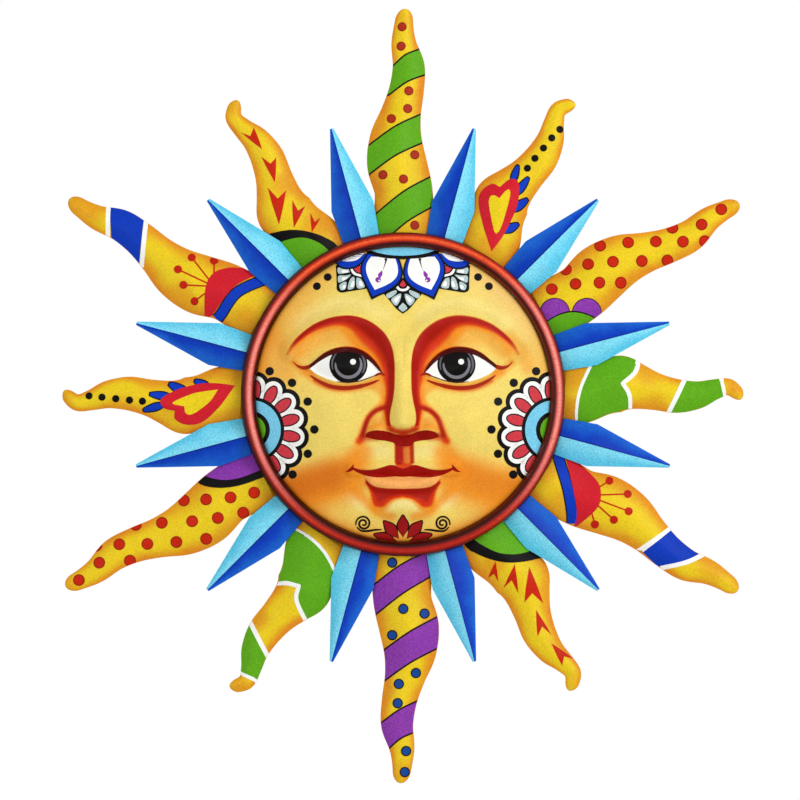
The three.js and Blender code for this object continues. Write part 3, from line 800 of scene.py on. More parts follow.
# Filled shapes: colour, level and the pieces between corners
RAY_SHAPES = {
    4: (
        ("white", 1, ([(672.5, 525)], [(672, 530)], [(641, 551)], [(636, 550), (655, 537)])),
        ("blue", 1, ([(674, 528)], [(704, 551), (685, 561)], [(658, 567)], [(641, 551)])),
    ),
    10: (
        ("blue", 1, ([(108.7, 204)], [(142.7, 218), (140.5, 242)], [(137.8, 264)], [(110, 240)])),
    ),
    8: (
        ("black", 3, ([(190, 474), (199, 484.5), (218, 488.5), (240, 486)],
                      [(266, 477), (256, 440), (206, 444)])),
        ("purple", 4, ([(196, 468), (205, 476.5), (222, 480.5), (240, 478.5)],
                       [(262, 470), (256, 440), (206, 444)])),
    ),
    11: (
        ("black", 2, ([(258, 246), (266.7, 236), (292.2, 231.2), (318, 236), (337.1, 247)],
                      [(346, 262), (330, 290), (285, 290)])),
        ("green", 3, ([(266, 256), (275.4, 244.8), (299.3, 239), (318, 244)],
                      [(333, 256), (325, 285), (285, 285)])),
    ),
    5: (
        ("black", 2, ([(455, 530), (466, 547), (484, 557.5), (505.8, 562.7), (528, 561)],
                      [(549, 555), (540, 515), (490, 495)])),
        ("green", 3, ([(466, 528), (474, 540), (493.6, 551.4), (508.9, 554.5), (524, 553)],
                      [(544, 546), (536, 512), (494, 500)])),
    ),
}

# White lines: points and width
RAY_LINES = {
    4: (([(673.5, 526), (641.5, 550.8)], 4.2), ([(708, 552.5), (686, 562.5), (660.5, 568.4)], 4.4)),
    10: (([(107, 202), (106.6, 238)], 4.6), ([(145.2, 218), (143, 242), (140.4, 268)], 4.6)),
}

# Green arches: the two dots behind, the arch, its foot and the foot of its dark edge
ARCHES = {
    2: (
        ((554.5, 314.5), (587.0, 314.5)),
        [(536, 334), (552, 320), (571, 313.6), (590, 317), (606, 327)],
        [(606, 327), (600, 352), (550, 356)],
        [(606, 326), (600, 352), (550, 356), (536, 333)]),
}

# Brushwork, in pixels
BAND_BOW, BAND_LINE, BAND_OVERRUN = 2.0, 1.6, 4.0
DARK_EDGE = 1.3  # black that shows round a petal
PETAL_FOOT, PETAL_BLUNT = 8, 1.6  # how far a petal starts before its root, and the length of its blunt end
HEART_DOT = 3.6
FLOWER_BAND, FLOWER_BAND_EDGE, STAMEN, STAMEN_DOT = 9.5, 2.4, 1.4, 4.0
LEAF_LINE, SCALLOP_LINE, SCALLOP_CORNER, GAP_LINE, TIP_LINE = 3.2, 4.2, 2.1, 4.6, 3.6
ARCH_EDGE, ARCH_DOT, ARCH_DOT_EDGE = 1.4, 14.5, 15.4


def bowed(left, right):
    """A bowed line from left to right that runs past both."""
    a, b = np.array(left, float), np.array(right, float)
    way = (b - a) / np.linalg.norm(b - a)
    lift = np.array((way[1], -way[0])) * BAND_BOW
    return [a - way * BAND_OVERRUN, a, (a + b) / 2 + lift, b, b + way * BAND_OVERRUN]


def paint_bands(f, colour_name, bands):
    """Slanting bands between two bowed lines."""
    for upper, lower in bands:
        top, bottom = bowed(*upper), bowed(*lower)
        f.fill(colour_name, outline(top[:-1], top[-1:], bottom[:0:-1], bottom[:1]), 1)
        for path in (top, bottom):
            f.stroke("black", path, BAND_LINE, 2)


def paint_seeds(f, edge_colour, colour_name, radius, edge, places):
    """Dots with a thin dark edge."""
    for place in places:
        f.dot(edge_colour, place, radius, 2)
        f.dot(colour_name, place, radius - edge, 3)


def paint_heart(f, petals, outer, inner, dots):
    """A crimson heart with a yellow one in it, slender blue petals behind and a row of dots to the tip."""
    for root, tip, half in petals:
        root, tip = np.array(root, float), np.array(tip, float)
        way = (tip - root) / np.linalg.norm(tip - root)
        for name, grow, level in (("black", DARK_EDGE, 1), ("blue", 0.0, 2)):
            bow = np.array((way[1], -way[0])) * (half + grow)
            a, b = root - way * (PETAL_FOOT + grow), tip + way * grow
            middle, blunt = (a + b) / 2, b - way * PETAL_BLUNT
            f.fill(name, outline([a, middle + bow, blunt + bow * 0.55, b, blunt - bow * 0.55,
                                  middle - bow]), level)
    f.fill("crimson", outline(*outer), 3)
    f.fill("yellow", outline(*inner), 4)
    for place in dots:
        f.dot("black", place, HEART_DOT)


def paint_flower(f, root_band, half_disc, stamens, tie):
    """A blue band across the root, a crimson half-disc on it, and stamens with dots."""
    f.stroke("black", root_band, FLOWER_BAND + FLOWER_BAND_EDGE, 2)
    f.stroke("blue", root_band, FLOWER_BAND, 3)
    for tip in stamens:
        f.stroke("berry", [tie, tip], STAMEN, 2)
        f.dot("berry", tip, STAMEN_DOT, 3)
    f.fill("crimson", outline(*half_disc), 3)


def paint_petals(f, *petals):
    """Red heart-shaped petals with their points inward."""
    for tip, left, right, notch in petals:
        tip, left, right = np.array(tip), np.array(left), np.array(right)
        left_flank = tip * 0.45 + left * 0.55 + (left - right) * 0.03
        right_flank = tip * 0.45 + right * 0.55 + (right - left) * 0.03
        f.fill("red", outline([tip, left_flank], [left], [notch], [right, right_flank]), 1)


def paint_leaves(f, line, scallop, foot, gap, tip_line, belly):
    """Green leaf with a scalloped end, a yellow field, a second green field and white lines between."""
    f.fill("green", outline(line[:-1], [line[-1], foot], scallop[:2:-1], scallop[2:0:-1], scallop[:1]), 1)
    f.stroke("white", line, LEAF_LINE, 2)
    f.stroke("white", scallop[:3], SCALLOP_LINE, 2)
    f.stroke("white", scallop[2:], SCALLOP_LINE, 2)
    f.dot("white", scallop[2], SCALLOP_CORNER, 2)
    f.fill("green", outline([gap[0]], [tip_line[0]], [tip_line[1], belly], [gap[1]]), 1)
    f.stroke("white", gap, GAP_LINE, 2)
    f.stroke("white", tip_line, TIP_LINE, 2)


def paint_arch(f, dots, arch, foot, edge_foot):
    """Two purple dots behind a green arch."""
    for place in dots:
        f.dot("black", place, ARCH_DOT_EDGE, 1)
        f.dot("purple", place, ARCH_DOT, 2)
    raised = [(x, y - ARCH_EDGE) for x, y in arch]
    f.fill("black", joined(raised, edge_foot), 3)
    f.fill("green", outline(arch[:-1], foot), 4)


def paint_ray(f, number):
    """Paints the motif of a ray."""
    for table, paint_one in ((BANDS, paint_bands), (SEEDS, paint_seeds), (HEARTS, paint_heart),
                             (FLOWERS, paint_flower), (PETALS, paint_petals), (LEAVES, paint_leaves),
                             (ARCHES, paint_arch)):
        if number in table:
            paint_one(f, *table[number])
    f.draw(RAY_SHAPES.get(number, ()), left_half)
    for path, width in RAY_LINES.get(number, ()):
        f.stroke("white", path, width, 2)


RAY_ACROSS, RAY_ROWS, TIP_ROWS = 29, 76, 11
TAB_FRONT = 1.0  # mm from the wall side of the ring to the front of a root tab
TAB_RAMP = (0.33, 0.66)  # rows between the tab and the rim
# Paint coordinate of the rows before the rim, in tenths of a metre
TAB_ALONG = (-0.15, -0.05, -0.03, -0.01)


def ray_sheet(ray):
    """Points, faces, the count of front faces and the paint coordinates of a ray with its root tab."""
    across = np.linspace(-1, 1, RAY_ACROSS)
    length = ray.run[-1]
    body = np.linspace(0, length - ray.tip, RAY_ROWS)
    tip = length - ray.tip * (1 - np.sin(np.radians(np.linspace(8, 88, TIP_ROWS))))
    index = np.unique(np.searchsorted(ray.run, np.concatenate([body, tip])).clip(0, len(ray.run) - 1))
    rows = [ray.surface(np.full(RAY_ACROSS, i), across) for i in index]
    tab = [[v * TAB_HALF, TAB_FRONT, z] for z in (TAB_INNER, TAB_OUTER) for v in across]
    foot, start = np.array(tab).reshape(2, RAY_ACROSS, 3)
    ramp = [start + (rows[0] - start) * t for t in TAB_RAMP]
    front = np.array([foot, start, *ramp, *rows])
    along = np.concatenate([TAB_ALONG, ray.run[index] / 100])
    uv = np.array([(v / 2 + 0.5, a) for a in along for v in across])
    return *grid_sheet(ray.turned(front), SHEET), np.concatenate([uv, uv])


class PLAQUE_OT_rays(bpy.types.Operator):
    """Twelve wavy rays of pressed sheet with their painted motifs"""
    bl_idname = "plaque.rays"
    bl_label = "Rays"

    def execute(self, context):
        enamel, back = ray_enamel(), back_paint()
        for number in range(12):
            ray = Ray(number)
            name = f"ray_{('long', 'short')[number % 2]}_{number // 2 + 1}"
            points, faces, shown, uv = ray_sheet(ray)
            slots = [0] * shown + [1] * (len(faces) - shown)
            piece = mesh_piece(f"pressed_{name}", points, faces, [enamel, back], uv, slots)
            amber = piece.data.attributes.new("amber", "FLOAT", "POINT")
            amber.data.foreach_set("value", amber_amount(number, points))
            dress(piece, "ray_enamel", name)
            films = Films(f"motif_{name}", on_rays, ray.lift)
            paint_ray(films, number)
            films.build("ray_enamel")
        return {"FINISHED"}


# Spikes, made once and repeated round the rim


def spike_enamel():
    """Two-tone enamel: the eye sees a dark and a light blue half that meet on the fold, dry-brushed."""
    colours = bpy.context.scene.plaque_colours
    material, tree = new_material("two_tone_spike_enamel")
    uv, away, drift = from_ridge(tree, 70.0, 3.0, 0.5)
    half = node(tree, "ShaderNodeMath", {0: uv.outputs["X"], 1: 0.5}, operation="GREATER_THAN")
    edge = node(tree, "ShaderNodeMapRange", {"Value": drift.outputs[0], "From Min": 0.3, "From Max": 0.75},
                interpolation_type="SMOOTHSTEP")
    fold = node(tree, "ShaderNodeMapRange", {"Value": away.outputs[0], "From Min": 0.02, "From Max": 0.06})
    light = node(tree, "ShaderNodeMix", {0: edge.outputs[0], 6: colours.light_blue, 7: linear("#5ED2F8")},
                 data_type="RGBA")
    blue = node(tree, "ShaderNodeMix", {0: edge.outputs[0], 6: colours.dark_blue, 7: linear("#1868DA")},
                data_type="RGBA")
    dark = node(tree, "ShaderNodeMix", {0: fold.outputs[0], 6: linear("#0A2A90"), 7: blue.outputs[2]},
                data_type="RGBA")
    both = node(tree, "ShaderNodeMix", {0: half.outputs[0], 6: dark.outputs[2], 7: light.outputs[2]},
                data_type="RGBA")
    finish_enamel(tree, both.outputs[2], speckle=0.26)
    return material


def new_group(name, sizes):
    """A geometry node tree with a geometry in and out and named length inputs."""
    tree = bpy.data.node_groups.new(name, "GeometryNodeTree")
    tree.interface.new_socket("Geometry", in_out="INPUT", socket_type="NodeSocketGeometry")
    sockets = {}
    for label, value, kind in sizes:
        socket = tree.interface.new_socket(label, in_out="INPUT", socket_type=kind)
        socket.default_value = value
        sockets[label] = socket.identifier
    tree.interface.new_socket("Geometry", in_out="OUTPUT", socket_type="NodeSocketGeometry")
    return tree, sockets, node(tree, "NodeGroupInput").outputs


def run_group(name, tree, sockets, values, start_mesh=None):
    """Runs a tree once and gives back the plain mesh."""
    holder = linked(name, start_mesh or bpy.data.meshes.new(name))
    modifier = holder.modifiers.new("Build", "NODES")
    modifier.node_group = tree
    for label, value in values.items():
        modifier[sockets[label]] = value
    evaluated = holder.evaluated_get(bpy.context.evaluated_depsgraph_get())
    mesh = bpy.data.meshes.new_from_object(evaluated)
    holder.modifiers.clear()
    bpy.data.objects.remove(holder)
    mesh.name = name
    return linked(name, mesh)


SPIKE_ACROSS = 13
SPIKE_TAB_HALF, SPIKE_TAB_FRONT = 5.5, 1.0  # mm
SPIKE_FOOT_HALF, SPIKE_BELLY_HALF, SPIKE_TIP_HALF = 9.6, 11.2, 0.9  # mm
SPIKE_BELLY = 17.2  # mm from the rim to the broadest place
SPIKE_TIP_RISE = 0.6  # mm
RIM_GAP = 0.3  # mm between the rim hoop and where a spike's halves start
SPIKE_SWELL = 0.35  # mm that each half bulges


def spike_pattern(sizes):
    """One folded spike at the top, with its faces behind marked."""
    rim, edge, ridge = rim_radius() + RIM_GAP, mm(sizes.spike_edge), mm(sizes.spike_ridge)
    # radius, half width, edge depth, ridge over the edge
    keys = np.array([
        (TAB_INNER, SPIKE_TAB_HALF, SPIKE_TAB_FRONT, 0), (TAB_OUTER, SPIKE_TAB_HALF, SPIKE_TAB_FRONT, 0),
        (rim, SPIKE_FOOT_HALF, edge, ridge), (rim + SPIKE_BELLY, SPIKE_BELLY_HALF, edge, ridge),
        (rim - RIM_GAP + mm(sizes.spike_reach), SPIKE_TIP_HALF, edge, SPIKE_TIP_RISE)])
    places = np.concatenate([[0], np.linspace(1, 2, 4), np.linspace(2, 3, 12)[1:],
                             np.linspace(3, 4, 24)[1:]])
    across = np.linspace(-1, 1, SPIKE_ACROSS)
    rows = []
    for p in places:
        i = min(int(p), 3)
        radius, half, depth, rise = keys[i] + (keys[i + 1] - keys[i]) * (p - i)
        swell = SPIKE_SWELL * math.sin(math.pi * min(1, max(0, p - 2) / 2))
        rows.append([(v * half, depth + rise * (1 - abs(v)) + swell * (1 - abs(2 * abs(v) - 1)), radius)
                     for v in across])
    points, faces, shown = grid_sheet(np.array(rows), SHEET)
    uv = np.array([(v / 2 + 0.5, p / 4) for p in places for v in across])
    one = mesh_piece("spike_pattern", points, faces, [], np.concatenate([uv, uv]))
    behind = one.data.attributes.new("behind", "BOOLEAN", "FACE")
    behind.data.foreach_set("value", [i >= shown for i in range(len(faces))])
    return one


def spikes_tree():
    """Geometry nodes that repeat the spike round the rim and give it its two paints."""
    tree, sockets, given = new_group("Spikes round the rim", [
        ("Count", 12, "NodeSocketInt"), ("Front", None, "NodeSocketMaterial"),
        ("Back", None, "NodeSocketMaterial")])
    ring = node(tree, "GeometryNodeMeshCircle", {"Vertices": given["Count"], "Radius": 1e-6})
    number = node(tree, "GeometryNodeInputIndex")
    turn = node(tree, "ShaderNodeMath", {0: number.outputs[0], 1: STEP, 2: STEP / 2},
                operation="MULTIPLY_ADD")
    axis = node(tree, "ShaderNodeCombineXYZ", {"Y": turn.outputs[0]})
    rotate = node(tree, "FunctionNodeEulerToRotation", {0: axis.outputs[0]})
    spikes = node(tree, "GeometryNodeInstanceOnPoints", {
        "Points": ring.outputs[0], "Instance": given["Geometry"], "Rotation": rotate.outputs[0]})
    real = node(tree, "GeometryNodeRealizeInstances", {0: spikes.outputs[0]})
    shown = node(tree, "GeometryNodeSetMaterial", {"Geometry": real.outputs[0], "Material": given["Front"]})
    behind = node(tree, "GeometryNodeInputNamedAttribute", {"Name": "behind"}, data_type="BOOLEAN")
    hidden = node(tree, "GeometryNodeSetMaterial", {
        "Geometry": shown.outputs[0], "Selection": behind.outputs[0], "Material": given["Back"]})
    node(tree, "NodeGroupOutput", {0: hidden.outputs[0]})
    return tree, sockets


class PLAQUE_OT_spikes(bpy.types.Operator):
    """Twelve folded spikes, repeated round the rim between the rays"""
    bl_idname = "plaque.spikes"
    bl_label = "Spikes"

    def execute(self, context):
        one = spike_pattern(context.scene.plaque_sizes)
        tree, sockets = spikes_tree()
        values = {"Count": 12, "Front": spike_enamel(), "Back": back_paint()}
        piece = run_group("folded_spikes", tree, sockets, values, one.data)
        bpy.data.objects.remove(one)
        dress(piece, "spike_enamel", *[f"spike_{i + 1}" for i in range(12)])
        return {"FINISHED"}


# Face


def face_enamel():
    """Airbrushed enamel: the eye sees pale yellow skin with soft orange and crisp rust shading."""
    colours = bpy.context.scene.plaque_colours
    material, tree = new_material("airbrushed_face_enamel")
    base = colours.face
    # The last tint is painted shade: a dark line in the corner where the face meets the hoop
    for name, tint in (("cream", colours.cream), ("orange", colours.orange), ("brown", linear("#D4660A")),
                       ("red", colours.red), ("rust", colours.rust), ("pale", linear("#E89038")),
                       ("recess_shade", linear("#3C0803"))):
        amount = node(tree, "ShaderNodeAttribute", attribute_name=name)
        base = node(tree, "ShaderNodeMix", {0: amount.outputs["Fac"], 6: base, 7: tint},
                    data_type="RGBA").outputs[2]
    finish_enamel(tree, base, speckle=0.13)
    return material


# Airbrush strokes: (colour, half width in pixels, strength, share of the half width that fades, points).
# Those of the left half are repeated on the right.
BOTH_SIDES = [
    # sockets between brow and lid, and the red of their inner ends
    ("orange", 17, 0.55, 0.9, ((304, 350), (320, 339), (345, 338), (366, 350), (376, 364))),
    ("orange", 9, 0.5, 0.9, ((298, 353), (300, 344), (312, 336))),
    ("orange", 8, 0.7, 0.9, ((346, 331), (358, 341), (368, 351), (378, 362))),
    ("red", 7, 0.55, 0.9, ((360, 334), (372, 345), (382, 360), (388, 380))),
    # round the outer corner and under the eye
    ("orange", 7, 0.7, 0.9, ((295, 363), (304, 370), (312, 373))),
    ("orange", 8, 0.75, 0.9, ((306, 372), (322, 383), (340, 388), (362, 387), (382, 380))),
    ("red", 3.6, 0.7, 0.8, ((316, 381), (330, 388), (346, 390), (362, 387))),
    ("orange", 7, 0.6, 0.9, ((372, 386), (380, 391), (386, 398))),
    # wing of the nose
    ("orange", 7, 0.75, 0.9, ((387, 402), (376, 412), (367, 424), (360, 442))),
    ("red", 4.6, 0.8, 0.85, ((387, 406.5), (377, 410.5), (369, 418), (364.5, 430), (360.5, 441))),
    ("rust", 3.4, 0.95, 0.8, ((386, 408), (377, 411), (369.5, 418), (365.6, 428), (363.5, 435))),
    ("rust", 4.4, 0.7, 0.9, ((362.5, 437), (368, 435))),
    ("red", 6.0, 0.8, 0.9, ((360, 441), (368, 438), (377, 437))),
    ("orange", 8, 0.6, 0.9, ((376, 424), (384, 420))),
    # under the tip of the nose
    ("orange", 6, 0.8, 0.9, ((370, 429), (381, 427), (392, 430))),
    ("red", 5.0, 0.9, 0.8, ((390, 428.6), (396, 431.6), (403.5, 432.6))),
    ("rust", 3.0, 0.6, 0.9, ((391, 430), (396, 432), (403.5, 433.4))),
    # painted light over the brow ridge, which lifts the shade on its upper slope
    ("cream", 14, 0.35, 1.0, ((300, 322), (330, 306), (360, 304), (385, 316))),
    # beside the mouth
    ("orange", 11, 0.65, 0.9, ((360, 446), (354, 456), (348, 468))),
    ("orange", 14, 0.7, 0.9, ((366, 452), (358, 462), (346, 470))),
    # lower cheek and jaw
    ("orange", 36, 0.95, 0.75, ((276, 500), (300, 492), (326, 484), (350, 476))),
    ("brown", 25, 0.3, 0.9, ((280, 492), (304, 484), (334, 475))),
    ("orange", 22, 0.9, 0.8, ((300, 512), (330, 532), (365, 545), (403.5, 550))),
    ("brown", 16, 0.5, 0.9, ((300, 516), (326, 535), (365, 549), (403.5, 553))),
    ("orange", 8, 0.75, 0.9, ((352, 486), (366, 500), (378, 512), (392, 516))),
    ("orange", 7, 0.55, 0.9, ((377, 508), (384, 500))),
    ("cream", 12, 0.6, 0.9, ((352, 494), (362, 502))),
    ("cream", 10, 0.6, 0.9, ((390, 505), (403.5, 502))),
    ("cream", 12, 0.45, 0.9, ((374, 450), (386, 452))),
]
ONE_SIDE = [
    ("brown", 26, 0.6, 0.9, ((276, 494), (304, 484), (330, 476))),
    ("orange", 36, 0.8, 0.9, ((258, 292), (248, 345), (250, 385))),
    ("orange", 20, 0.5, 0.9, ((262, 296), (292, 268))),
    ("orange", 50, 0.25, 1.0, ((296, 280), (282, 330), (285, 370))),
    ("orange", 17, 0.6, 0.9, ((284, 290), (268, 318), (257, 350), (252, 380))),
    ("orange", 17, 0.4, 0.9, ((272, 334), (284, 352), (288, 374))),
    ("orange", 14, 0.5, 0.9, ((510, 340), (522, 354), (528, 366))),
    ("orange", 16, 0.3, 0.9, ((546, 300), (556, 345), (556, 380))),
    # painted highlight: a pale sheen on the right of the forehead, on the side the light comes from
    ("cream", 30, 0.5, 0.9, ((478, 268), (510, 292), (532, 322))),
    # groove under the nose: a broad dark bar, a light middle and a thin bar
    ("red", 10.2, 0.95, 0.25, ((404.4, 442), (404.4, 462))),
    ("rust", 5.2, 0.95, 0.5, ((399.4, 441), (399.6, 461))),
    ("rust", 2.6, 0.9, 0.6, ((412.6, 441), (413, 462))),
    ("pale", 4.0, 0.8, 0.7, ((407.2, 450), (407.6, 461))),
]


# Graded shapes of the left half: a crisp edge, a far edge, and for each colour where it starts to fade and
# is gone, as shares of the way across (over 1 is past the far edge).
GRADED = [
    # brow that runs down the side of the nose
    (((288, 354), (293, 345), (300, 337), (309, 329.5), (318, 324), (330, 319.5), (342, 317.4),
      (352, 317.3), (362, 319.5), (371, 323.5), (380, 330), (387, 338), (392, 349), (394.3, 362),
      (394.6, 376), (394.2, 390), (392.6, 402), (390.4, 412), (389.8, 420), (391, 427)),
     ((289.5, 355), (296.5, 346), (303.5, 339.5), (311.5, 334), (320, 330), (331, 326.8), (341, 326),
      (350, 328.5), (356, 333.5), (362, 340), (368, 346.5), (375, 352.5), (380, 359), (383.4, 367),
      (385, 378), (386.8, 392), (385.6, 403), (384.6, 409), (386, 417), (387, 426)),
     (("orange", 1.0, 2.2), ("red", 0.85, 1.25), ("rust", 0.45, 0.9))),
    # shade under the lower lip, with its two points
    (((366, 479), (372, 485), (380, 487.8), (392, 488.8), (403.5, 488.8)),
     ((366.5, 483), (371, 491), (375, 504.5), (383.5, 506), (388, 502.5), (394.5, 498.3), (403.5, 496.3)),
     (("orange", 1.0, 1.5), ("red", 0.95, 1.08), ("rust", 0.5, 0.95))),
]


def inside(shape, x, z):
    """Whether each point lies in a closed shape."""
    odd = np.zeros(np.shape(x), bool)
    for (ax, az), (bx, bz) in zip(shape, shape[1:] + shape[:1]):
        if az != bz:
            odd ^= ((az > z) != (bz > z)) & (x < (bx - ax) * (z - az) / (bz - az) + ax)
    return odd


SOFTEST_EDGE = 0.7  # mm over which the crispest stroke fades
CRISP_EDGE = 0.6  # mm over which a graded shape's near edge fades
START_STRENGTH, START_SHARE = 0.3, 0.1  # how a graded shape begins, and over which share of its length
LEAST_WIDTH, FARTHEST = 1.5, 30  # mm, narrowest place that counts and reach of a graded shape
RIM_SHADE, RIM_SHADE_FROM, RIM_SHADE_TO = 0.4, 60, 76  # orange towards the rim, and radii in mm
RECESS, RECESS_FROM, RECESS_TO = 0.6, 75.4, 76.0  # painted shade: a dark line in the corner inside the hoop, and radii in mm


def airbrush(x, z):
    """Strength of each airbrushed colour at points of the face in mm."""
    out = {name: np.zeros(np.shape(x)) for name in ("cream", "orange", "brown", "red", "rust", "pale",
                                                    "recess_shade")}

    def add(name, amount):
        out[name] = 1 - (1 - out[name]) * (1 - amount)

    for strokes, sx in ((BOTH_SIDES, -np.abs(x)), (ONE_SIDE, x)):
        for name, half, strength, fade, points in strokes:
            reach = half * MM_PER_PIXEL
            away, _ = distance_to([on_face(*p) for p in smooth(points, 5)], sx, z)
            add(name, strength * (1 - ease(min(1 - fade, 1 - SOFTEST_EDGE / reach), 1, away / reach)))
    sx = -np.abs(x)
    for near, far, stops in GRADED:
        near_line = [tuple(on_face(*p)) for p in smooth(near)]
        far_line = [tuple(on_face(*p)) for p in smooth(far)]
        to_near, along = distance_to(near_line, sx, z)
        start = START_STRENGTH + (1 - START_STRENGTH) * ease(0, START_SHARE, along)
        to_far, _ = distance_to(far_line, sx, z)
        within = inside(near_line + far_line[::-1], sx, z)
        across = to_near / np.maximum(to_near + to_far, 1e-6)
        width = np.maximum(to_near - to_far, LEAST_WIDTH)
        across = np.where(within, across, np.where(to_far < to_near, 1 + to_far / width, 0))
        crisp = np.where(within | (to_far < to_near), 1, 1 - ease(0, CRISP_EDGE, to_near))
        reached = np.where(to_near + to_far < FARTHEST, 1, 0)
        for name, full, gone in stops:
            add(name, start * crisp * (1 - ease(full, gone, across)) * reached)
    r = np.hypot(x, z)
    add("orange", RIM_SHADE * ease(RIM_SHADE_FROM, RIM_SHADE_TO, r))
    # Painted shade: a dark line in the corner where the face meets the hoop
    add("recess_shade", RECESS * ease(RECESS_FROM, RECESS_TO, r))
    return out


FACE_SIDES, FACE_RINGS, INNER_RINGS = 400, 151, 40
BEND_PLACES = (0.2, 0.4, 0.6, 0.75, 0.88, 0.96)  # shares of the bend
INNER_EDGE = 2.4  # mm from the outside of the skirt to where the dome's inside starts
SKIRT_GAP = 1.6  # mm from the skirt's foot to the front of the back ring
# Lugs through the ring, in mm: half width, length beyond the foot, reach behind the ring and gap to it
LUG_HALF, LUG_ROOT, LUG_REACH, LUG_GAP = 2.5, 2, 6.1, 0.3


def face_section():
    """Section of the face in mm from the pole round the skirt and back inside, as front and inner rows of
    (radius, depth, whether in relief), then the depth of the pole and of the skirt's foot."""
    radius, edge, bend, rise, edge_depth, lean = face_profile()

    def dome(r):
        return edge_depth + rise * (1 - (r / edge) ** 2)

    foot = depths("back_ring")[0] + SKIRT_GAP
    drop = edge_depth - bend * (lean + 1)
    front = [(r, dome(r), True) for r in np.linspace(0, edge, FACE_RINGS)[1:]]
    front += [(edge + bend * f, edge_depth - bend * (lean * f + BEND_FALL * f ** 3), True)
              for f in BEND_PLACES]
    inner = [(radius, drop, False), (radius, foot, False), (radius - SHEET, foot, False),
             (radius - SHEET, drop - 0.5, False)]
    inner += [(r, dome(r) - SHEET, True) for r in np.linspace(0, radius - INNER_EDGE, INNER_RINGS)[:0:-1]]
    return front, inner, dome(0), foot


def face_lugs(points, faces, foot):
    """Adds the lugs that pass through the ring and are folded in behind it."""
    radius = face_profile()[0]
    fold = depths("back_ring")[1] - LUG_GAP
    bent = ((radius - 0.1, foot + LUG_ROOT), (radius - 0.9, foot + LUG_ROOT), (radius - 0.9, fold),
            (radius - LUG_REACH, fold), (radius - LUG_REACH, fold - SHEET), (radius - 0.7, fold - SHEET),
            (radius - 0.1, fold - 0.4))
    count = len(bent)
    for turn in STEP / 4 + np.arange(6) * math.tau / 6:
        start = len(points)
        points += [(r * math.sin(turn) + w * math.cos(turn), depth, r * math.cos(turn) - w * math.sin(turn))
                   for w in (-LUG_HALF, LUG_HALF) for r, depth in bent]
        faces.append(tuple(start + k for k in range(count)))
        faces.append(tuple(start + count + k for k in range(count))[::-1])
        faces += [(start + k, start + count + k, start + count + (k + 1) % count, start + (k + 1) % count)
                  for k in range(count)]


def pressed_face():
    """The face with its relief, skirt and lugs, and how much of each airbrushed colour a point takes."""
    front, inner, pole, foot = face_section()
    turns = np.linspace(0, 2 * math.pi, FACE_SIDES, endpoint=False)
    rows = front + inner
    points = [(0, pole + relief(0.0, 0.0), 0)]
    for r, depth, shaped in rows:
        x, z = r * np.sin(turns), r * np.cos(turns)
        raised = depth + (relief(x, z) if shaped else 0)
        points += list(zip(x, np.broadcast_to(raised, x.shape), z))
    points.append((0, pole - SHEET + relief(0.0, 0.0), 0))
    last = len(points) - 1

    def at(i, j):
        return 1 + i * FACE_SIDES + j % FACE_SIDES

    faces = [(0, at(0, j), at(0, j + 1)) for j in range(FACE_SIDES)]
    faces += [(at(i, j), at(i + 1, j), at(i + 1, j + 1), at(i, j + 1))
              for i in range(len(rows) - 1) for j in range(FACE_SIDES)]
    faces += [(last, at(len(rows) - 1, j + 1), at(len(rows) - 1, j)) for j in range(FACE_SIDES)]
    face_lugs(points, faces, foot)
    shown = FACE_SIDES * (1 + len(front))
    slots = [0 if i < shown else 1 for i in range(len(faces))]
    piece = mesh_piece("pressed_face", points, [face[::-1] for face in faces],
                       [face_enamel(), back_paint()], slots=slots)
    spots = np.array(points)
    for name, values in airbrush(spots[:, 0], spots[:, 2]).items():
        piece.data.attributes.new(name, "FLOAT", "POINT").data.foreach_set("value", values)
    return piece


class PLAQUE_OT_face(bpy.types.Operator):
    """The domed face with its relief and airbrushed shading"""
    bl_idname = "plaque.face"
    bl_label = "Face"

    def execute(self, context):
        dress(pressed_face(), "face_enamel", "face_dish")
        films = Films("face_motif", on_face, lift_face, grid=0.9)
        for half in (left_half, right_half):
            paint_eye(films, half)
            paint_cheek(films, half)
            paint_forehead(films, half)
            films.draw(LIPS, half)
        films.draw(NOSTRILS, left_half)
        paint_chin(films)
        films.build("face_enamel")
        return {"FINISHED"}


# Left eye, in the photograph's pixels: upper and lower edge of the upper lid, and the lower lid. The points
# up to LID_START are the crease beyond the eye.
UPPER_LID = ((294, 361.5), (298.5, 365), (304.5, 366.3), (311, 364.8), (318, 359.2), (326, 353.4),
             (336, 349.2), (347, 347.7), (357, 348.9), (366, 353), (373.5, 359.4), (379.5, 367),
             (383.4, 374.6))
UNDER_LID = ((294.5, 363), (299, 367.6), (305, 370), (310.5, 369.2), (315, 366), (323, 360.6), (333, 355.6),
             (347, 352.9), (358, 354.4), (366, 358.6), (373, 364.4), (378.2, 370), (383.4, 375.2))
LOWER_LID = ((310.5, 368.6), (316, 373.4), (326, 378.4), (338, 382.2), (349, 383.2), (360, 381.8),
             (371, 378.2), (381.4, 374))
LID_START = 3
FINE = 0.45  # grid in mm of the films that show a fine edge
IRISES = {left_half: (349.4, 365.4), right_half: (456.6, 365.4)}
LID_COVER = 2.5  # how far the iris runs up under the lid
IRIS_WIDE, IRIS_HIGH, PUPIL, GLANCE = 19, 18.4, 10.2, 2.9  # radii of the iris, the pupil and its light
PUPIL_SHIFT, GLANCE_SHIFT = (-0.4, -1.4), (4.6, -2.6)
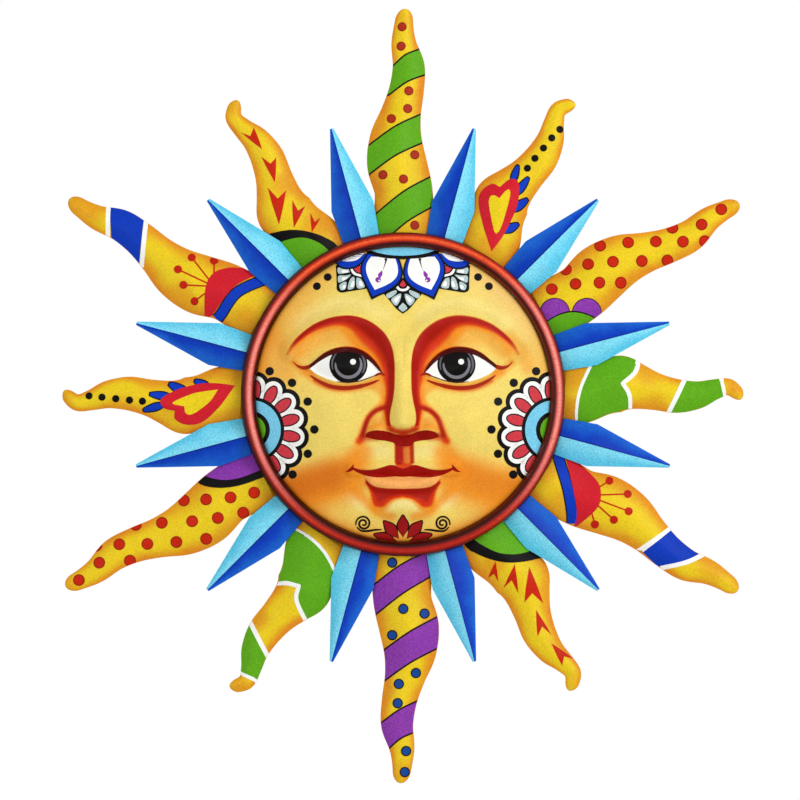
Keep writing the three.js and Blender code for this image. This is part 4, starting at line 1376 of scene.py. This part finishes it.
# Grey glints in the iris: colour, radius, first and last angle, width, width of the ends
GLINTS = (("grey", 12.8, 172, 392, 3.2, 0.2), ("dark_grey", 16.2, 136, 200, 1.8, 0.1),
          ("dark_grey", 16.3, -34, 50, 2.2, 0.1))
UNDER_EYE = (311, 375.6), (320, 381.6), (332, 386.8), (345, 388.6), (358, 387.6), (370, 384.6), (380, 380.8)
INNER_CORNER = (375, 377), (380.5, 374.6), (386, 376)


def paint_eye(f, half):
    """White, iris, lids and the crease below."""
    upper, under, lower = ([half(p) for p in line] for line in (UPPER_LID, UNDER_LID, LOWER_LID))
    lid = under[LID_START:]
    iris = IRISES[half]
    brink = sorted(lid)

    def covered(p):
        """The point p, or the place below it where the lid lets the iris start."""
        edge = float(np.interp(p[0], [q[0] for q in brink], [q[1] for q in brink]))
        return p[0], max(p[1], edge - LID_COVER)

    f.fill("white", joined(lid, lower[::-1], [lower[0], lid[0]]), 1, FINE)
    f.fill("black", [covered(p) for p in ellipse(iris, IRIS_WIDE, IRIS_HIGH, sides=48)], 2, FINE)
    for name, radius, start, stop, width, ends in GLINTS:
        arc = [(iris[0] + radius * math.cos(t), iris[1] - radius * math.sin(t))
               for t in np.radians(np.linspace(start, stop, 30))]
        f.stroke(name, arc, width, 4, ends)
    f.dot("black", (iris[0] + PUPIL_SHIFT[0], iris[1] + PUPIL_SHIFT[1]), PUPIL, 5)
    f.dot("white", (iris[0] + GLANCE_SHIFT[0], iris[1] + GLANCE_SHIFT[1]), GLANCE, 6)
    f.fill("lid", joined(upper[LID_START:], under[:LID_START - 1:-1], [under[LID_START], upper[LID_START]]),
           7, FINE)
    f.fill("crease", outline(upper[:LID_START], [upper[LID_START]], under[LID_START:0:-1], under[:1]), 7)
    f.stroke("crease", upper[LID_START + 1:], 1.1, 8, 0.3)
    f.stroke("lid", lower[3:], 0.9, 7, 0.2)
    f.stroke("crease", [half(p) for p in UNDER_EYE], 4.0, 2, 0.1)
    f.stroke("crease", [half(p) for p in INNER_CORNER], 2.4, 6, 0.2)


# Flower on the cheek: middle, angles of its petals, then colour, radius and level of its parts
CHEEK = (252.0, 429.5)
PETAL_ANGLES = (84, 60.5, 37.2, 13.9, -9.4, -32.7, -56)
# scalloped discs: colour, radius, place and radius of the scallops, sides of a scallop, level
SCALLOPED = (("black", 50, 45.6, 13, 36, 1), ("white", 47.5, 44.8, 9.4, 32, 2))
CHEEK_PETALS = (("black", 11.0, 6.1, 3), ("pink", 9.7, 4.8, 4))
CHEEK_RINGS = (("black", 33.2, 5), ("sky", 29.8, 7), ("black", 18.8, 9), ("green", 14.5, 11))
PETAL_PLACE = 39.4
CHEEK_DOTS = (270.6, 371), (293.1, 382.9), (308.8, 401.8), (315.5, 429.6), (308.8, 453.5), (293.5, 473.9)


def paint_cheek(f, half):
    """Half a flower at the rim: rings, petals, a white scalloped edge and loose dots."""
    def disc(name, radius, level):
        f.fill(name, [half(p) for p in ellipse(CHEEK, radius, radius, sides=72)], level, 0.6)

    def spot(angle, radius):
        return (CHEEK[0] + radius * math.cos(math.radians(angle)),
                CHEEK[1] - radius * math.sin(math.radians(angle)))

    for name, radius, place, scallop, sides, level in SCALLOPED:
        disc(name, radius, level)
        for angle in PETAL_ANGLES:
            shape = ellipse(spot(angle, place), scallop, scallop, sides=sides)
            f.fill(name, [half(p) for p in shape], level)
    for angle in PETAL_ANGLES:
        way = 180 - angle if half is right_half else angle
        for name, long, short, level in CHEEK_PETALS:
            f.fill(name, ellipse(half(spot(angle, PETAL_PLACE)), long, short, way), level)
    for ring_row in CHEEK_RINGS:
        disc(*ring_row)
    for p in CHEEK_DOTS:
        f.dot("black", half(p), 4.2)


# Nose, mouth and forehead: colour, level and a soft outline or the pieces between corners. Those of the
# mouth and forehead are of the left half.
NOSTRILS = (
    ("dark_rust", 1, ([(366, 437), (368.5, 432.8), (377, 430.8), (388, 432), (396, 434.6)],
                      [(404, 436), (412, 434.4), (419, 431.8), (428, 430.8), (436.5, 433)],
                      [(439.5, 437), (431, 439.6), (419, 441.2), (413.6, 443), (411.6, 445.6), (404, 446.4),
                       (397, 445.6), (394, 443), (386, 441), (376, 439.8)])),
)
LIPS = (
    ("lip", 3, ([(352.6, 466.8), (360, 469.3), (368, 470), (376, 469.2), (384, 466.9), (390, 465.1),
                 (395, 465.3), (399.5, 467.4)], [(403.5, 468.4)],
                 [(403.5, 476.8), (396, 476.2), (384, 477), (375, 476.9), (366, 475.2), (358, 472)],
                 [(352.6, 468.6)])),
    ("lip_light", 2, ([(403.5, 476.4), (384, 476.6)], [(366, 475.6), (369, 481), (374, 484.8),
                                                       (384, 487.6)], [(403.5, 488.4)])),
    ("lip", 3, ([(346, 471.6), (350, 468.8)], [(354.6, 464), (354.4, 468)], [(354, 470), (350, 471.6)])),
)
LEAF_FAN = (
    ("black", 1, ([(336.4, 265), (337, 274), (337.4, 284), (337.8, 290), (342, 292.8), (350, 291.8),
                   (358, 290.6)], [(368, 289), (368, 262)])),
)
FAN_LEAVES = (
    ((339, 267.4), (349.4, 268.6), (351, 271.8), (345, 273.2), (339.2, 273.4)),
    ((339.2, 276), (346, 275.6), (351.6, 274.8), (347, 279.4), (339.6, 282.6)),
    ((340.4, 285), (346.8, 282), (346.2, 289), (341.6, 290.2)),
    ((350.8, 279.6), (355, 277.4), (354.8, 287.8), (348.6, 289.4)),
    ((357.4, 278), (361.4, 279), (365.4, 287.2), (358, 288.2)),
)
SIDE_PETALS = (
    ("black", 3, ((349.6, 267), (352, 275), (359, 278), (366, 278), (366, 264), (356, 264))),
    ("white", 4, ((351.2, 267.4), (353.4, 273.8), (359.4, 276.4), (364.6, 276.4), (364.6, 265),
                  (357, 265))),
    ("black", 5, ((353.4, 267), (355.8, 272.4), (360, 274.2), (364.4, 274), (364, 265.6))),
    ("pink", 6, ((354.8, 267.4), (357, 271.6), (360.2, 272.8), (363.4, 272.4), (363, 266.4))),
    ("black", 7, ([(335.4, 262), (341, 267.8), (349, 269.2), (357, 267.6), (364, 262)],
                  [(369, 253), (352, 254)])),
    ("blue", 8, ([(337, 262), (342, 266.2), (349, 267.6), (356.4, 266), (362.6, 261)],
                 [(367.2, 253.4), (352, 254)])),
    ("white", 9, ([(342.6, 260.6), (350, 261.2), (358, 259.4)], [(365, 253), (354, 252)])),
)
SPADE_PETAL = (
    ("black", 9, ([(368, 252), (362.4, 262), (361, 272), (364.4, 282)],
                  [(372.2, 300.4), (380, 296.4), (388.4, 292.6), (396.4, 287.4), (401.6, 281), (403.4, 273),
                   (402, 264.4)], [(398.6, 256)])),
    ("blue", 10, ([(368.6, 254), (363.8, 263), (362.6, 272), (366, 282)],
                  [(373.4, 297.4), (380, 294.4), (388, 290.8), (395.4, 285.8), (400.2, 280), (401.8, 273),
                   (400.4, 265)], [(397.4, 257)])),
    ("white", 11, ([(371.8, 256.5), (367.6, 263), (366.8, 271), (370, 280.4)],
                   [(375.4, 290.4), (386.6, 285.8), (394.4, 280.6), (398.2, 274.4), (398.2, 266.6)],
                   [(395.6, 257.5)])),
    ("black", 12, ([(384.9, 258.4)], [(388, 258.4), (387, 262)], [(383.4, 271), (385.6, 262)])),
    ("purple", 12, ([(382.8, 270.4), (383, 275)], [(380.4, 279), (378.6, 275)])),
)
MIDDLE_FAN = (
    ("black", 2, ([(403.5, 314.6), (397, 309.6), (390, 301)], [(384.6, 294.6), (394, 286)],
                  [(403.5, 278)])),
    ("pale_grey", 3, ([(403.5, 303.4), (399.2, 308.8)], [(403.5, 312.8)])),
    ("pale_grey", 3, ((401.6, 294.6), (396.6, 296.2), (391.8, 300.4), (396.4, 306.4), (400.4, 301.6))),
    ("white", 4, ((400.4, 296.6), (396.8, 298.2), (394.6, 301), (396.8, 303.6), (399, 300.4))),
    ("pale_grey", 3, ((396.4, 290.8), (387, 295), (389.4, 299), (396.4, 294.4))),
    ("white", 3, ([(396.6, 288.2), (399.4, 291)], [(403.5, 292)], [(403.5, 289.6), (400.4, 288.8)],
                  [(398.8, 286.4)])),
    ("pink", 12, ([(403.5, 288), (400.4, 285.6)], [(403.5, 280.4)])),
)
CRESCENT = (
    ("black", 13, ([(365, 250.4), (372, 254.4), (384, 257.8)], [(403.5, 259.2)],
                   [(403.5, 244), (380, 244)])),
    ("sky", 14, ([(371, 250), (380, 253), (391, 255)], [(403.5, 255.8)], [(403.5, 244), (384, 244)])),
)
DROP, DROP_LIGHT = (378.8, 280.2), (380, 281)
FOREHEAD_DOTS = ((317.6, 286.1), (328.4, 276.9))


LEAF_LIGHT, LEAF_LIGHT_SHIFT = 0.5, (1, 0.8)  # size and shift of the white in a leaf


def paint_forehead(f, half):
    """Half of the ornament under the rim: crescent, spade petal with a drop, and leaf fans."""
    f.draw(LEAF_FAN, half)
    for leaf in FAN_LEAVES:
        centre = np.mean(leaf, axis=0)
        light = [centre + (np.array(p) - centre) * LEAF_LIGHT + LEAF_LIGHT_SHIFT for p in leaf]
        f.draw((("pale_grey", 2, leaf), ("white", 3, light)), half)
    f.draw(SIDE_PETALS + SPADE_PETAL, half)
    f.dot("purple", half(DROP), 2.8, 12)
    f.dot("white", half(DROP_LIGHT), 0.9, 13)
    f.draw(MIDDLE_FAN + CRESCENT, half)
    for p in FOREHEAD_DOTS:
        f.dot("black", half(p), 3.9)


# Lotus and spirals on the chin, in the photograph's pixels: petals as (tip, half width)
LOTUS_BASE = (403.5, 542)
LOTUS_PETALS = (((375, 533.4), 4.2), ((432, 533.4), 4.2), ((384.6, 520.4), 5.0), ((422.4, 520.4), 5.0),
                ((403.5, 514.8), 5.2))
LOTUS_BELLY, LOTUS_FOOT = 0.62, 0.2  # shares of the way from base to tip
LOTUS_BLUNT, LOTUS_SHOULDER = 1.5, 1.4  # length and half width of a petal's blunt end
SPIRAL, SPIRAL_START, SPIRAL_GROWTH, SPIRAL_TURN = (364.2, 522.6), 1.2, 0.53, 2.6
SPIRAL_TAIL = (357.4, 526), (362, 529.8), (369, 530), (376, 529), (382.6, 528.8)


def paint_chin(f):
    """Red lotus with a black outline between two spirals."""
    base = np.array(LOTUS_BASE)
    for tip, half_width in LOTUS_PETALS:
        tip = np.array(tip)
        way = (tip - base) / np.linalg.norm(tip - base)
        side = np.array((way[1], -way[0]))
        for name, grow, level in (("black", DARK_EDGE, 1), ("lotus", 0.0, 3)):
            far = tip + way * grow
            wide, low = (base + (tip - base) * share for share in (LOTUS_BELLY, LOTUS_FOOT))
            blunt = far - way * LOTUS_BLUNT
            belly, shoulder = side * (half_width + grow), side * (LOTUS_SHOULDER + grow * 0.4)
            shape = outline([low, wide + belly], [blunt + shoulder, far], [blunt - shoulder, wide - belly])
            f.fill(name, shape, level)
    for half in (left_half, right_half):
        spiral = [half((SPIRAL[0] + (SPIRAL_START + SPIRAL_GROWTH * t) * math.cos(SPIRAL_TURN - t),
                        SPIRAL[1] + (SPIRAL_START + SPIRAL_GROWTH * t) * math.sin(SPIRAL_TURN - t)))
                  for t in np.linspace(0, 3.9 * math.pi, 60)]
        f.stroke("black", spiral, 2.0, 2, 0.6)
        f.stroke("black", [half(p) for p in SPIRAL_TAIL], 2.1, 2, 0.3)


# Rim, rivets, bumpers and the steel behind


def back_paint():
    """Satin black paint on sheet steel: the eye sees an even dark film with a faint orange peel."""
    found = bpy.data.materials.get("satin_black_paint")
    shade = bpy.context.scene.plaque_colours.back
    return found or plain_enamel("satin_black_paint", shade, roughness=0.5, speckle=0.1, specular=0.3)


COAT = 0.18  # mm of enamel on the hoop, which fills the corner to the face, so the bar grows inward only
# Painted light and shade of the hoop from its inner side to its outer side, over the lit part and at both
# sides: painted shade on the flanks, a painted highlight on the crest, pale pink painted reflections at the
# sides, and a warm painted reflection of the face at the inner edge
CREST_HIGHLIGHT_AND_SHADE = ((0.02, "#7C2610"), (0.11, "#460804"), (0.22, "#3C0201"), (0.3, "#5C0602"), (0.39, "#B02408"),
              (0.52, "#E84A1C"), (0.62, "#FA6430"), (0.74, "#D83812"), (0.86, "#8C1004"), (1.0, "#400301"))
SIDE_REFLECTION_AND_SHADE = ((0.02, "#6A2014"), (0.11, "#460804"), (0.24, "#500603"), (0.34, "#D8584C"), (0.49, "#FF9A8E"),
             (0.61, "#F08074"), (0.7, "#C84438"), (0.8, "#7A140C"), (0.95, "#400301"))
CREST_SHIFT = (-1.3, 0, 0.35)  # moves the painted highlight across the bar from place to place, towards the right of the bar


def painted_light_ramp(tree, factor, stops):
    """Colours over a factor, from (place, colour) pairs."""
    ramp = node(tree, "ShaderNodeValToRGB", {"Fac": factor})
    for _ in stops[2:]:
        ramp.color_ramp.elements.new(0.5)
    for stop, (position, shade) in zip(ramp.color_ramp.elements, stops):
        stop.position, stop.color = position, linear(shade)
    return ramp.outputs[0]


def rim_enamel(inner, outer):
    """Red enamel with painted light and shade: dark painted shade on the flanks and in the corners, and an
    orange painted highlight on the crest that turns to pale pink painted reflections at both sides, set off
    to the upper right, with painted shade that makes the bottom deeper red."""
    enamel, tree = new_material("red_rim_enamel_painted_light")
    where = node(tree, "ShaderNodeTexCoord").outputs["Object"]
    sides = node(tree, "ShaderNodeSeparateXYZ", {0: where})
    flat = node(tree, "ShaderNodeCombineXYZ", {"X": sides.outputs["X"], "Y": sides.outputs["Z"]})
    reach = node(tree, "ShaderNodeVectorMath", {0: flat.outputs[0]}, operation="LENGTH")
    across = node(tree, "ShaderNodeMapRange", {
        "Value": reach.outputs["Value"], "From Min": inner, "From Max": outer})
    offset = node(tree, "ShaderNodeVectorMath", {0: where, 1: CREST_SHIFT}, operation="DOT_PRODUCT")
    shifted = node(tree, "ShaderNodeMath", {0: across.outputs[0], 1: offset.outputs["Value"]},
                   operation="ADD")
    # The crest colours carry the painted highlight between flanks of painted shade; the side colours carry
    # the pale pink painted reflections
    crest, side = (painted_light_ramp(tree, shifted.outputs[0], stops) for stops in (CREST_HIGHLIGHT_AND_SHADE, SIDE_REFLECTION_AND_SHADE))
    # Painted reflection: towards the left and right of the hoop the crest turns pale pink
    aside = node(tree, "ShaderNodeMath", {0: sides.outputs["X"]}, operation="ABSOLUTE")
    pale = node(tree, "ShaderNodeMapRange", {
        "Value": aside.outputs[0], "From Min": 0.045, "From Max": 0.078}, interpolation_type="SMOOTHSTEP")
    both = node(tree, "ShaderNodeMix", {0: pale.outputs[0], 6: crest, 7: side}, data_type="RGBA")
    # Painted shade: the hoop is painted darker towards the bottom
    foot = node(tree, "ShaderNodeMapRange", {
        "Value": sides.outputs["Z"], "From Min": -0.02, "From Max": -0.075})
    toned = node(tree, "ShaderNodeMix", {0: foot.outputs[0], 6: both.outputs[2], 7: linear("#C4708A")},
                 data_type="RGBA", blend_type="MULTIPLY")
    finish_enamel(tree, toned.outputs[2], roughness=0.32, speckle=0.3, specular=0.18)
    return enamel


def hoop_tree():
    """Geometry nodes that sweep a round bar round the face."""
    tree, sockets, given = new_group("Hoop from a round bar", [
        ("Hoop radius", 0.08, "NodeSocketFloat"), ("Rod radius", 0.003, "NodeSocketFloat"),
        ("Depth", 0.0, "NodeSocketFloat"), ("Enamel", None, "NodeSocketMaterial")])
    path = node(tree, "GeometryNodeCurvePrimitiveCircle", {
        "Resolution": 288, "Radius": given["Hoop radius"]})
    section = node(tree, "GeometryNodeCurvePrimitiveCircle", {
        "Resolution": 28, "Radius": given["Rod radius"]})
    bar = node(tree, "GeometryNodeCurveToMesh", {
        "Curve": path.outputs[0], "Profile Curve": section.outputs[0]})
    depth = node(tree, "ShaderNodeCombineXYZ", {"Y": given["Depth"]})
    stand = node(tree, "GeometryNodeTransform", {
        "Geometry": bar.outputs[0], "Rotation": (math.pi / 2, 0, 0), "Translation": depth.outputs[0]})
    real = node(tree, "GeometryNodeRealizeInstances", {0: stand.outputs[0]})
    coat = node(tree, "GeometryNodeSetMaterial", {"Geometry": real.outputs[0], "Material": given["Enamel"]})
    node(tree, "NodeGroupOutput", {0: coat.outputs[0]})
    return tree, sockets


class PLAQUE_OT_rim(bpy.types.Operator):
    """Round bar hoop that frames the face"""
    bl_idname = "plaque.rim"
    bl_label = "Rim hoop"

    def execute(self, context):
        low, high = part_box("rim_hoop")
        coated = (high[1] - low[1]) / 2 + COAT * MM
        middle = high[0] - coated
        enamel = rim_enamel(middle - coated, high[0])
        tree, sockets = hoop_tree()
        piece = run_group("round_rim_hoop", tree, sockets, {
            "Hoop radius": middle, "Rod radius": coated, "Depth": (low[1] + high[1]) / 2, "Enamel": enamel})
        outward(piece)
        dress(piece, "rim_enamel", "rim_hoop")
        return {"FINISHED"}


def outward(piece):
    """Merges doubles and turns every face outward."""
    work = bmesh.new()
    work.from_mesh(piece.data)
    bmesh.ops.remove_doubles(work, verts=work.verts, dist=1e-7)
    bmesh.ops.recalc_face_normals(work, faces=work.faces)
    work.to_mesh(piece.data)
    work.free()
    piece.data.shade_smooth()
    piece.data.set_sharp_from_angle(angle=math.radians(40))


def turned_part(name, profile, material, sides=24):
    """A turned pattern along Y from a profile of (radius, depth) in mm, closed at both poles."""
    points, faces = [(0, profile[0][1], 0)], []
    for radius, depth in profile[1:-1]:
        points += [(radius * math.sin(2 * math.pi * j / sides), depth,
                    radius * math.cos(2 * math.pi * j / sides))
                   for j in range(sides)]
    points.append((0, profile[-1][1], 0))
    rings = len(profile) - 2

    def at(i, j):
        return 1 + i * sides + j % sides

    faces += [(0, at(0, j + 1), at(0, j)) for j in range(sides)]
    faces += [(at(i, j), at(i, j + 1), at(i + 1, j + 1), at(i + 1, j)) for i in range(rings - 1)
              for j in range(sides)]
    faces += [(len(points) - 1, at(rings - 1, j), at(rings - 1, j + 1)) for j in range(sides)]
    return mesh_piece(name, points, faces, [material])


def rivet_profile(high, low):
    """A snap head in front and a closed tail behind, for a rivet between two depths in mm."""
    head, shank, height = 2.7, 1.6, 1.3
    return [(0, high), (0.9, high - 0.08), (1.8, high - 0.42), (2.4, high - 0.85), (head, high - height),
            (shank, high - height), (shank, low + height), (head, low + height), (2.5, low + 0.6),
            (1.9, low + 0.15), (1.0, low), (0, low)]


def zinc_steel():
    """Zinc-plated steel: the eye sees a dull grey metal with slightly uneven shine."""
    steel, tree = new_material("zinc_plated_steel")
    where = node(tree, "ShaderNodeTexCoord").outputs["Object"]
    blur = node(tree, "ShaderNodeTexNoise", {"Vector": where, "Scale": 900.0, "Detail": 3.0})
    tone = node(tree, "ShaderNodeMapRange", {"Value": blur.outputs["Fac"], "To Min": 0.28, "To Max": 0.5})
    bump = node(tree, "ShaderNodeBump", {
        "Height": blur.outputs["Fac"], "Strength": 0.2, "Distance": 0.0001})
    metal = node(tree, "ShaderNodeBsdfPrincipled", {
        "Base Color": linear("#A9ACAD"), "Metallic": 1.0, "Roughness": tone.outputs[0],
        "Normal": bump.outputs[0]})
    node(tree, "ShaderNodeOutputMaterial", {"Surface": metal.outputs[0]})
    return steel


def rivets_tree(name):
    """Geometry nodes that put a rivet at every place."""
    tree, sockets, given = new_group(f"Place {name}", [
        ("Rivet", None, "NodeSocketObject"), ("Steel", None, "NodeSocketMaterial")])
    pattern = node(tree, "GeometryNodeObjectInfo", {"Object": given["Rivet"]})
    put = node(tree, "GeometryNodeInstanceOnPoints", {
        "Points": given["Geometry"], "Instance": pattern.outputs["Geometry"]})
    real = node(tree, "GeometryNodeRealizeInstances", {0: put.outputs[0]})
    coat = node(tree, "GeometryNodeSetMaterial", {"Geometry": real.outputs[0], "Material": given["Steel"]})
    node(tree, "NodeGroupOutput", {0: coat.outputs[0]})
    return tree, sockets


class PLAQUE_OT_rivets(bpy.types.Operator):
    """Rivets through the roots of rays and spikes, and through the strap"""
    bl_idname = "plaque.rivets"
    bl_label = "Rivets"

    def execute(self, context):
        steel = zinc_steel()
        groups = (("root_rivets", [f"{kind}_rivet_{i + 1}" for i in range(12)
                                   for kind in ("ray", "spike")]),
                  ("strap_rivets", [f"strap_rivet_{i + 1}" for i in range(4)]))
        for name, nodes in groups:
            one = turned_part("rivet_pattern", rivet_profile(*depths(nodes[0])), steel)
            places = [[(a + b) / 2 * (k != 1) for k, (a, b) in enumerate(zip(*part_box(n)))] for n in nodes]
            spots = bpy.data.meshes.new("rivet_places")
            spots.from_pydata(places, [], [])
            tree, sockets = rivets_tree(name)
            piece = run_group(name, tree, sockets, {"Rivet": one, "Steel": steel}, spots)
            bpy.data.objects.remove(one)
            piece.data.shade_smooth()
            piece.data.set_sharp_from_angle(angle=math.radians(50))
            dress(piece, "rivet_steel", *nodes)
        return {"FINISHED"}


def moulded_rubber():
    """Moulded rubber: the eye sees a matte near-black with a little dust."""
    return plain_enamel("moulded_rubber", "#121213", roughness=0.82, speckle=0.2)


def bumper_profile(radius, front, rear):
    """A round foot with a rounded edge towards the wall."""
    return [(0, front), (radius, front), (radius, rear + 1.4), (radius - 0.3, rear + 0.8),
            (radius - 1.0, rear + 0.2), (radius - 1.7, rear), (0, rear)]


class PLAQUE_OT_back(bpy.types.Operator):
    """Back ring, cross strap and rubber bumpers"""
    bl_idname = "plaque.back"
    bl_label = "Back"

    def execute(self, context):
        for name in ("back_ring", "hanger_strap"):
            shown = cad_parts[name]
            shown.data.materials.clear()
            shown.data.materials.append(back_paint())
        rubber = moulded_rubber()
        for name in ("bumper_right", "bumper_left"):
            low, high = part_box(name)
            profile = bumper_profile(mm(high[0] - low[0]) / 2, *depths(name))
            piece = turned_part(f"rubber_{name}", profile, rubber, 32)
            shift = Vector(((low[0] + high[0]) / 2, 0, (low[2] + high[2]) / 2))
            for vertex in piece.data.vertices:
                vertex.co += shift
            dress(piece, "bumper_rubber", name)
        return {"FINISHED"}


# Stage

AIM = Vector((-0.0015, 0, -0.0026))  # where the camera looks
KEY_SIZE, KEY_PLACE = (0.9, 1.3), (1.15, -1.35, 0.6)
FILL_SIZE, FILL_PLACE = (1.6, 1.6), (-1.0, -1.9, -0.3)
FLOOR_HALF, FLOOR_BACK, FLOOR_DROP = 1.2, 0.3, 0.06


def add_camera(scene, s):
    """A camera that frames the plaque from slightly below."""
    camera = bpy.data.cameras.new("camera")
    camera.lens = camera.sensor_width * s.distance / s.frame_width
    holder = linked("camera", camera)
    holder.location = AIM + Vector((0, -s.distance * math.cos(s.elevation),
                                    s.distance * math.sin(s.elevation)))
    holder.rotation_euler = (AIM - holder.location).to_track_quat("-Z", "Y").to_euler()
    scene.camera = holder


def add_lamp(name, power, extent, place):
    """A soft lamp turned to the plaque."""
    lamp = bpy.data.lights.new(name, "AREA")
    lamp.energy, lamp.shape = power, "RECTANGLE"
    lamp.size, lamp.size_y = extent
    body = linked(name, lamp)
    body.location = place
    body.rotation_euler = (-Vector(place)).to_track_quat("-Z", "Y").to_euler()


def add_surround(scene, s):
    """An even white light, at full strength where the camera or a shine sees it."""
    world = bpy.data.worlds.new("studio")
    world.use_nodes = True
    tree = world.node_tree
    tree.nodes.clear()
    seen = node(tree, "ShaderNodeLightPath").outputs
    direct = node(tree, "ShaderNodeMath", {0: seen["Is Camera Ray"], 1: seen["Is Transmission Ray"]},
                  operation="MAXIMUM")
    direct = node(tree, "ShaderNodeMath", {0: direct.outputs[0], 1: seen["Is Glossy Ray"]},
                  operation="MAXIMUM")
    strength = node(tree, "ShaderNodeMapRange", {
        "Value": direct.outputs[0], "To Min": s.surround, "To Max": 1.0})
    sky = node(tree, "ShaderNodeBackground", {"Color": (1, 1, 1, 1), "Strength": strength.outputs[0]})
    node(tree, "ShaderNodeOutputWorld", {"Surface": sky.outputs[0]})
    scene.world = world


def add_floor():
    """Pale matte floor: the eye sees an even, almost white ground below the plaque."""
    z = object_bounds()[0][2] - FLOOR_DROP
    mesh = bpy.data.meshes.new("floor")
    corners = [(-FLOOR_HALF, -FLOOR_HALF, z), (FLOOR_HALF, -FLOOR_HALF, z), (FLOOR_HALF, FLOOR_BACK, z),
               (-FLOOR_HALF, FLOOR_BACK, z)]
    mesh.from_pydata(corners, [], [(0, 1, 2, 3)])
    floor = linked("floor", mesh)
    pale, tree = new_material("pale_studio_floor")
    matte = node(tree, "ShaderNodeBsdfPrincipled", {"Base Color": linear("#EDEDEB"), "Roughness": 0.8})
    node(tree, "ShaderNodeOutputMaterial", {"Surface": matte.outputs[0]})
    mesh.materials.append(pale)
    floor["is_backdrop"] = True


class PLAQUE_OT_stage(bpy.types.Operator):
    """Camera, soft lamps, white surround and a pale floor"""
    bl_idname = "plaque.stage"
    bl_label = "Stage"

    def execute(self, context):
        scene, s = context.scene, context.scene.plaque_stage
        scene.view_settings.view_transform = "Standard"
        add_camera(scene, s)
        add_lamp("key", s.key, KEY_SIZE, KEY_PLACE)
        add_lamp("fill", s.fill, FILL_SIZE, FILL_PLACE)
        add_surround(scene, s)
        add_floor()
        return {"FINISHED"}


class PLAQUE_PT_panel(bpy.types.Panel):
    """Lists the steps that build the plaque"""
    bl_idname = "PLAQUE_PT_panel"
    bl_label = "Sun face plaque"
    bl_space_type = "VIEW_3D"
    bl_region_type = "UI"
    bl_category = "Plaque"

    def draw(self, context):
        for operator in OPERATORS:
            self.layout.operator(operator.bl_idname)


OPERATORS = (PLAQUE_OT_rays, PLAQUE_OT_spikes, PLAQUE_OT_face, PLAQUE_OT_rim, PLAQUE_OT_rivets,
             PLAQUE_OT_back, PLAQUE_OT_stage)
GROUPS = (PlaqueSizes, PlaqueColours, PlaqueStage)


def register():
    for cls in GROUPS + OPERATORS + (PLAQUE_PT_panel,):
        bpy.utils.register_class(cls)
    bpy.types.Scene.plaque_sizes = bpy.props.PointerProperty(type=PlaqueSizes)
    bpy.types.Scene.plaque_colours = bpy.props.PointerProperty(type=PlaqueColours)
    bpy.types.Scene.plaque_stage = bpy.props.PointerProperty(type=PlaqueStage)


def unregister():
    for name in ("plaque_sizes", "plaque_colours", "plaque_stage"):
        delattr(bpy.types.Scene, name)
    for cls in reversed(GROUPS + OPERATORS + (PLAQUE_PT_panel,)):
        bpy.utils.unregister_class(cls)


def main():
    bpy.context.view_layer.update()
    register()
    for step in ("rays", "spikes", "face", "rim", "rivets", "back", "stage"):
        getattr(bpy.ops.plaque, step)()


if __name__ == "__main__":
    main()
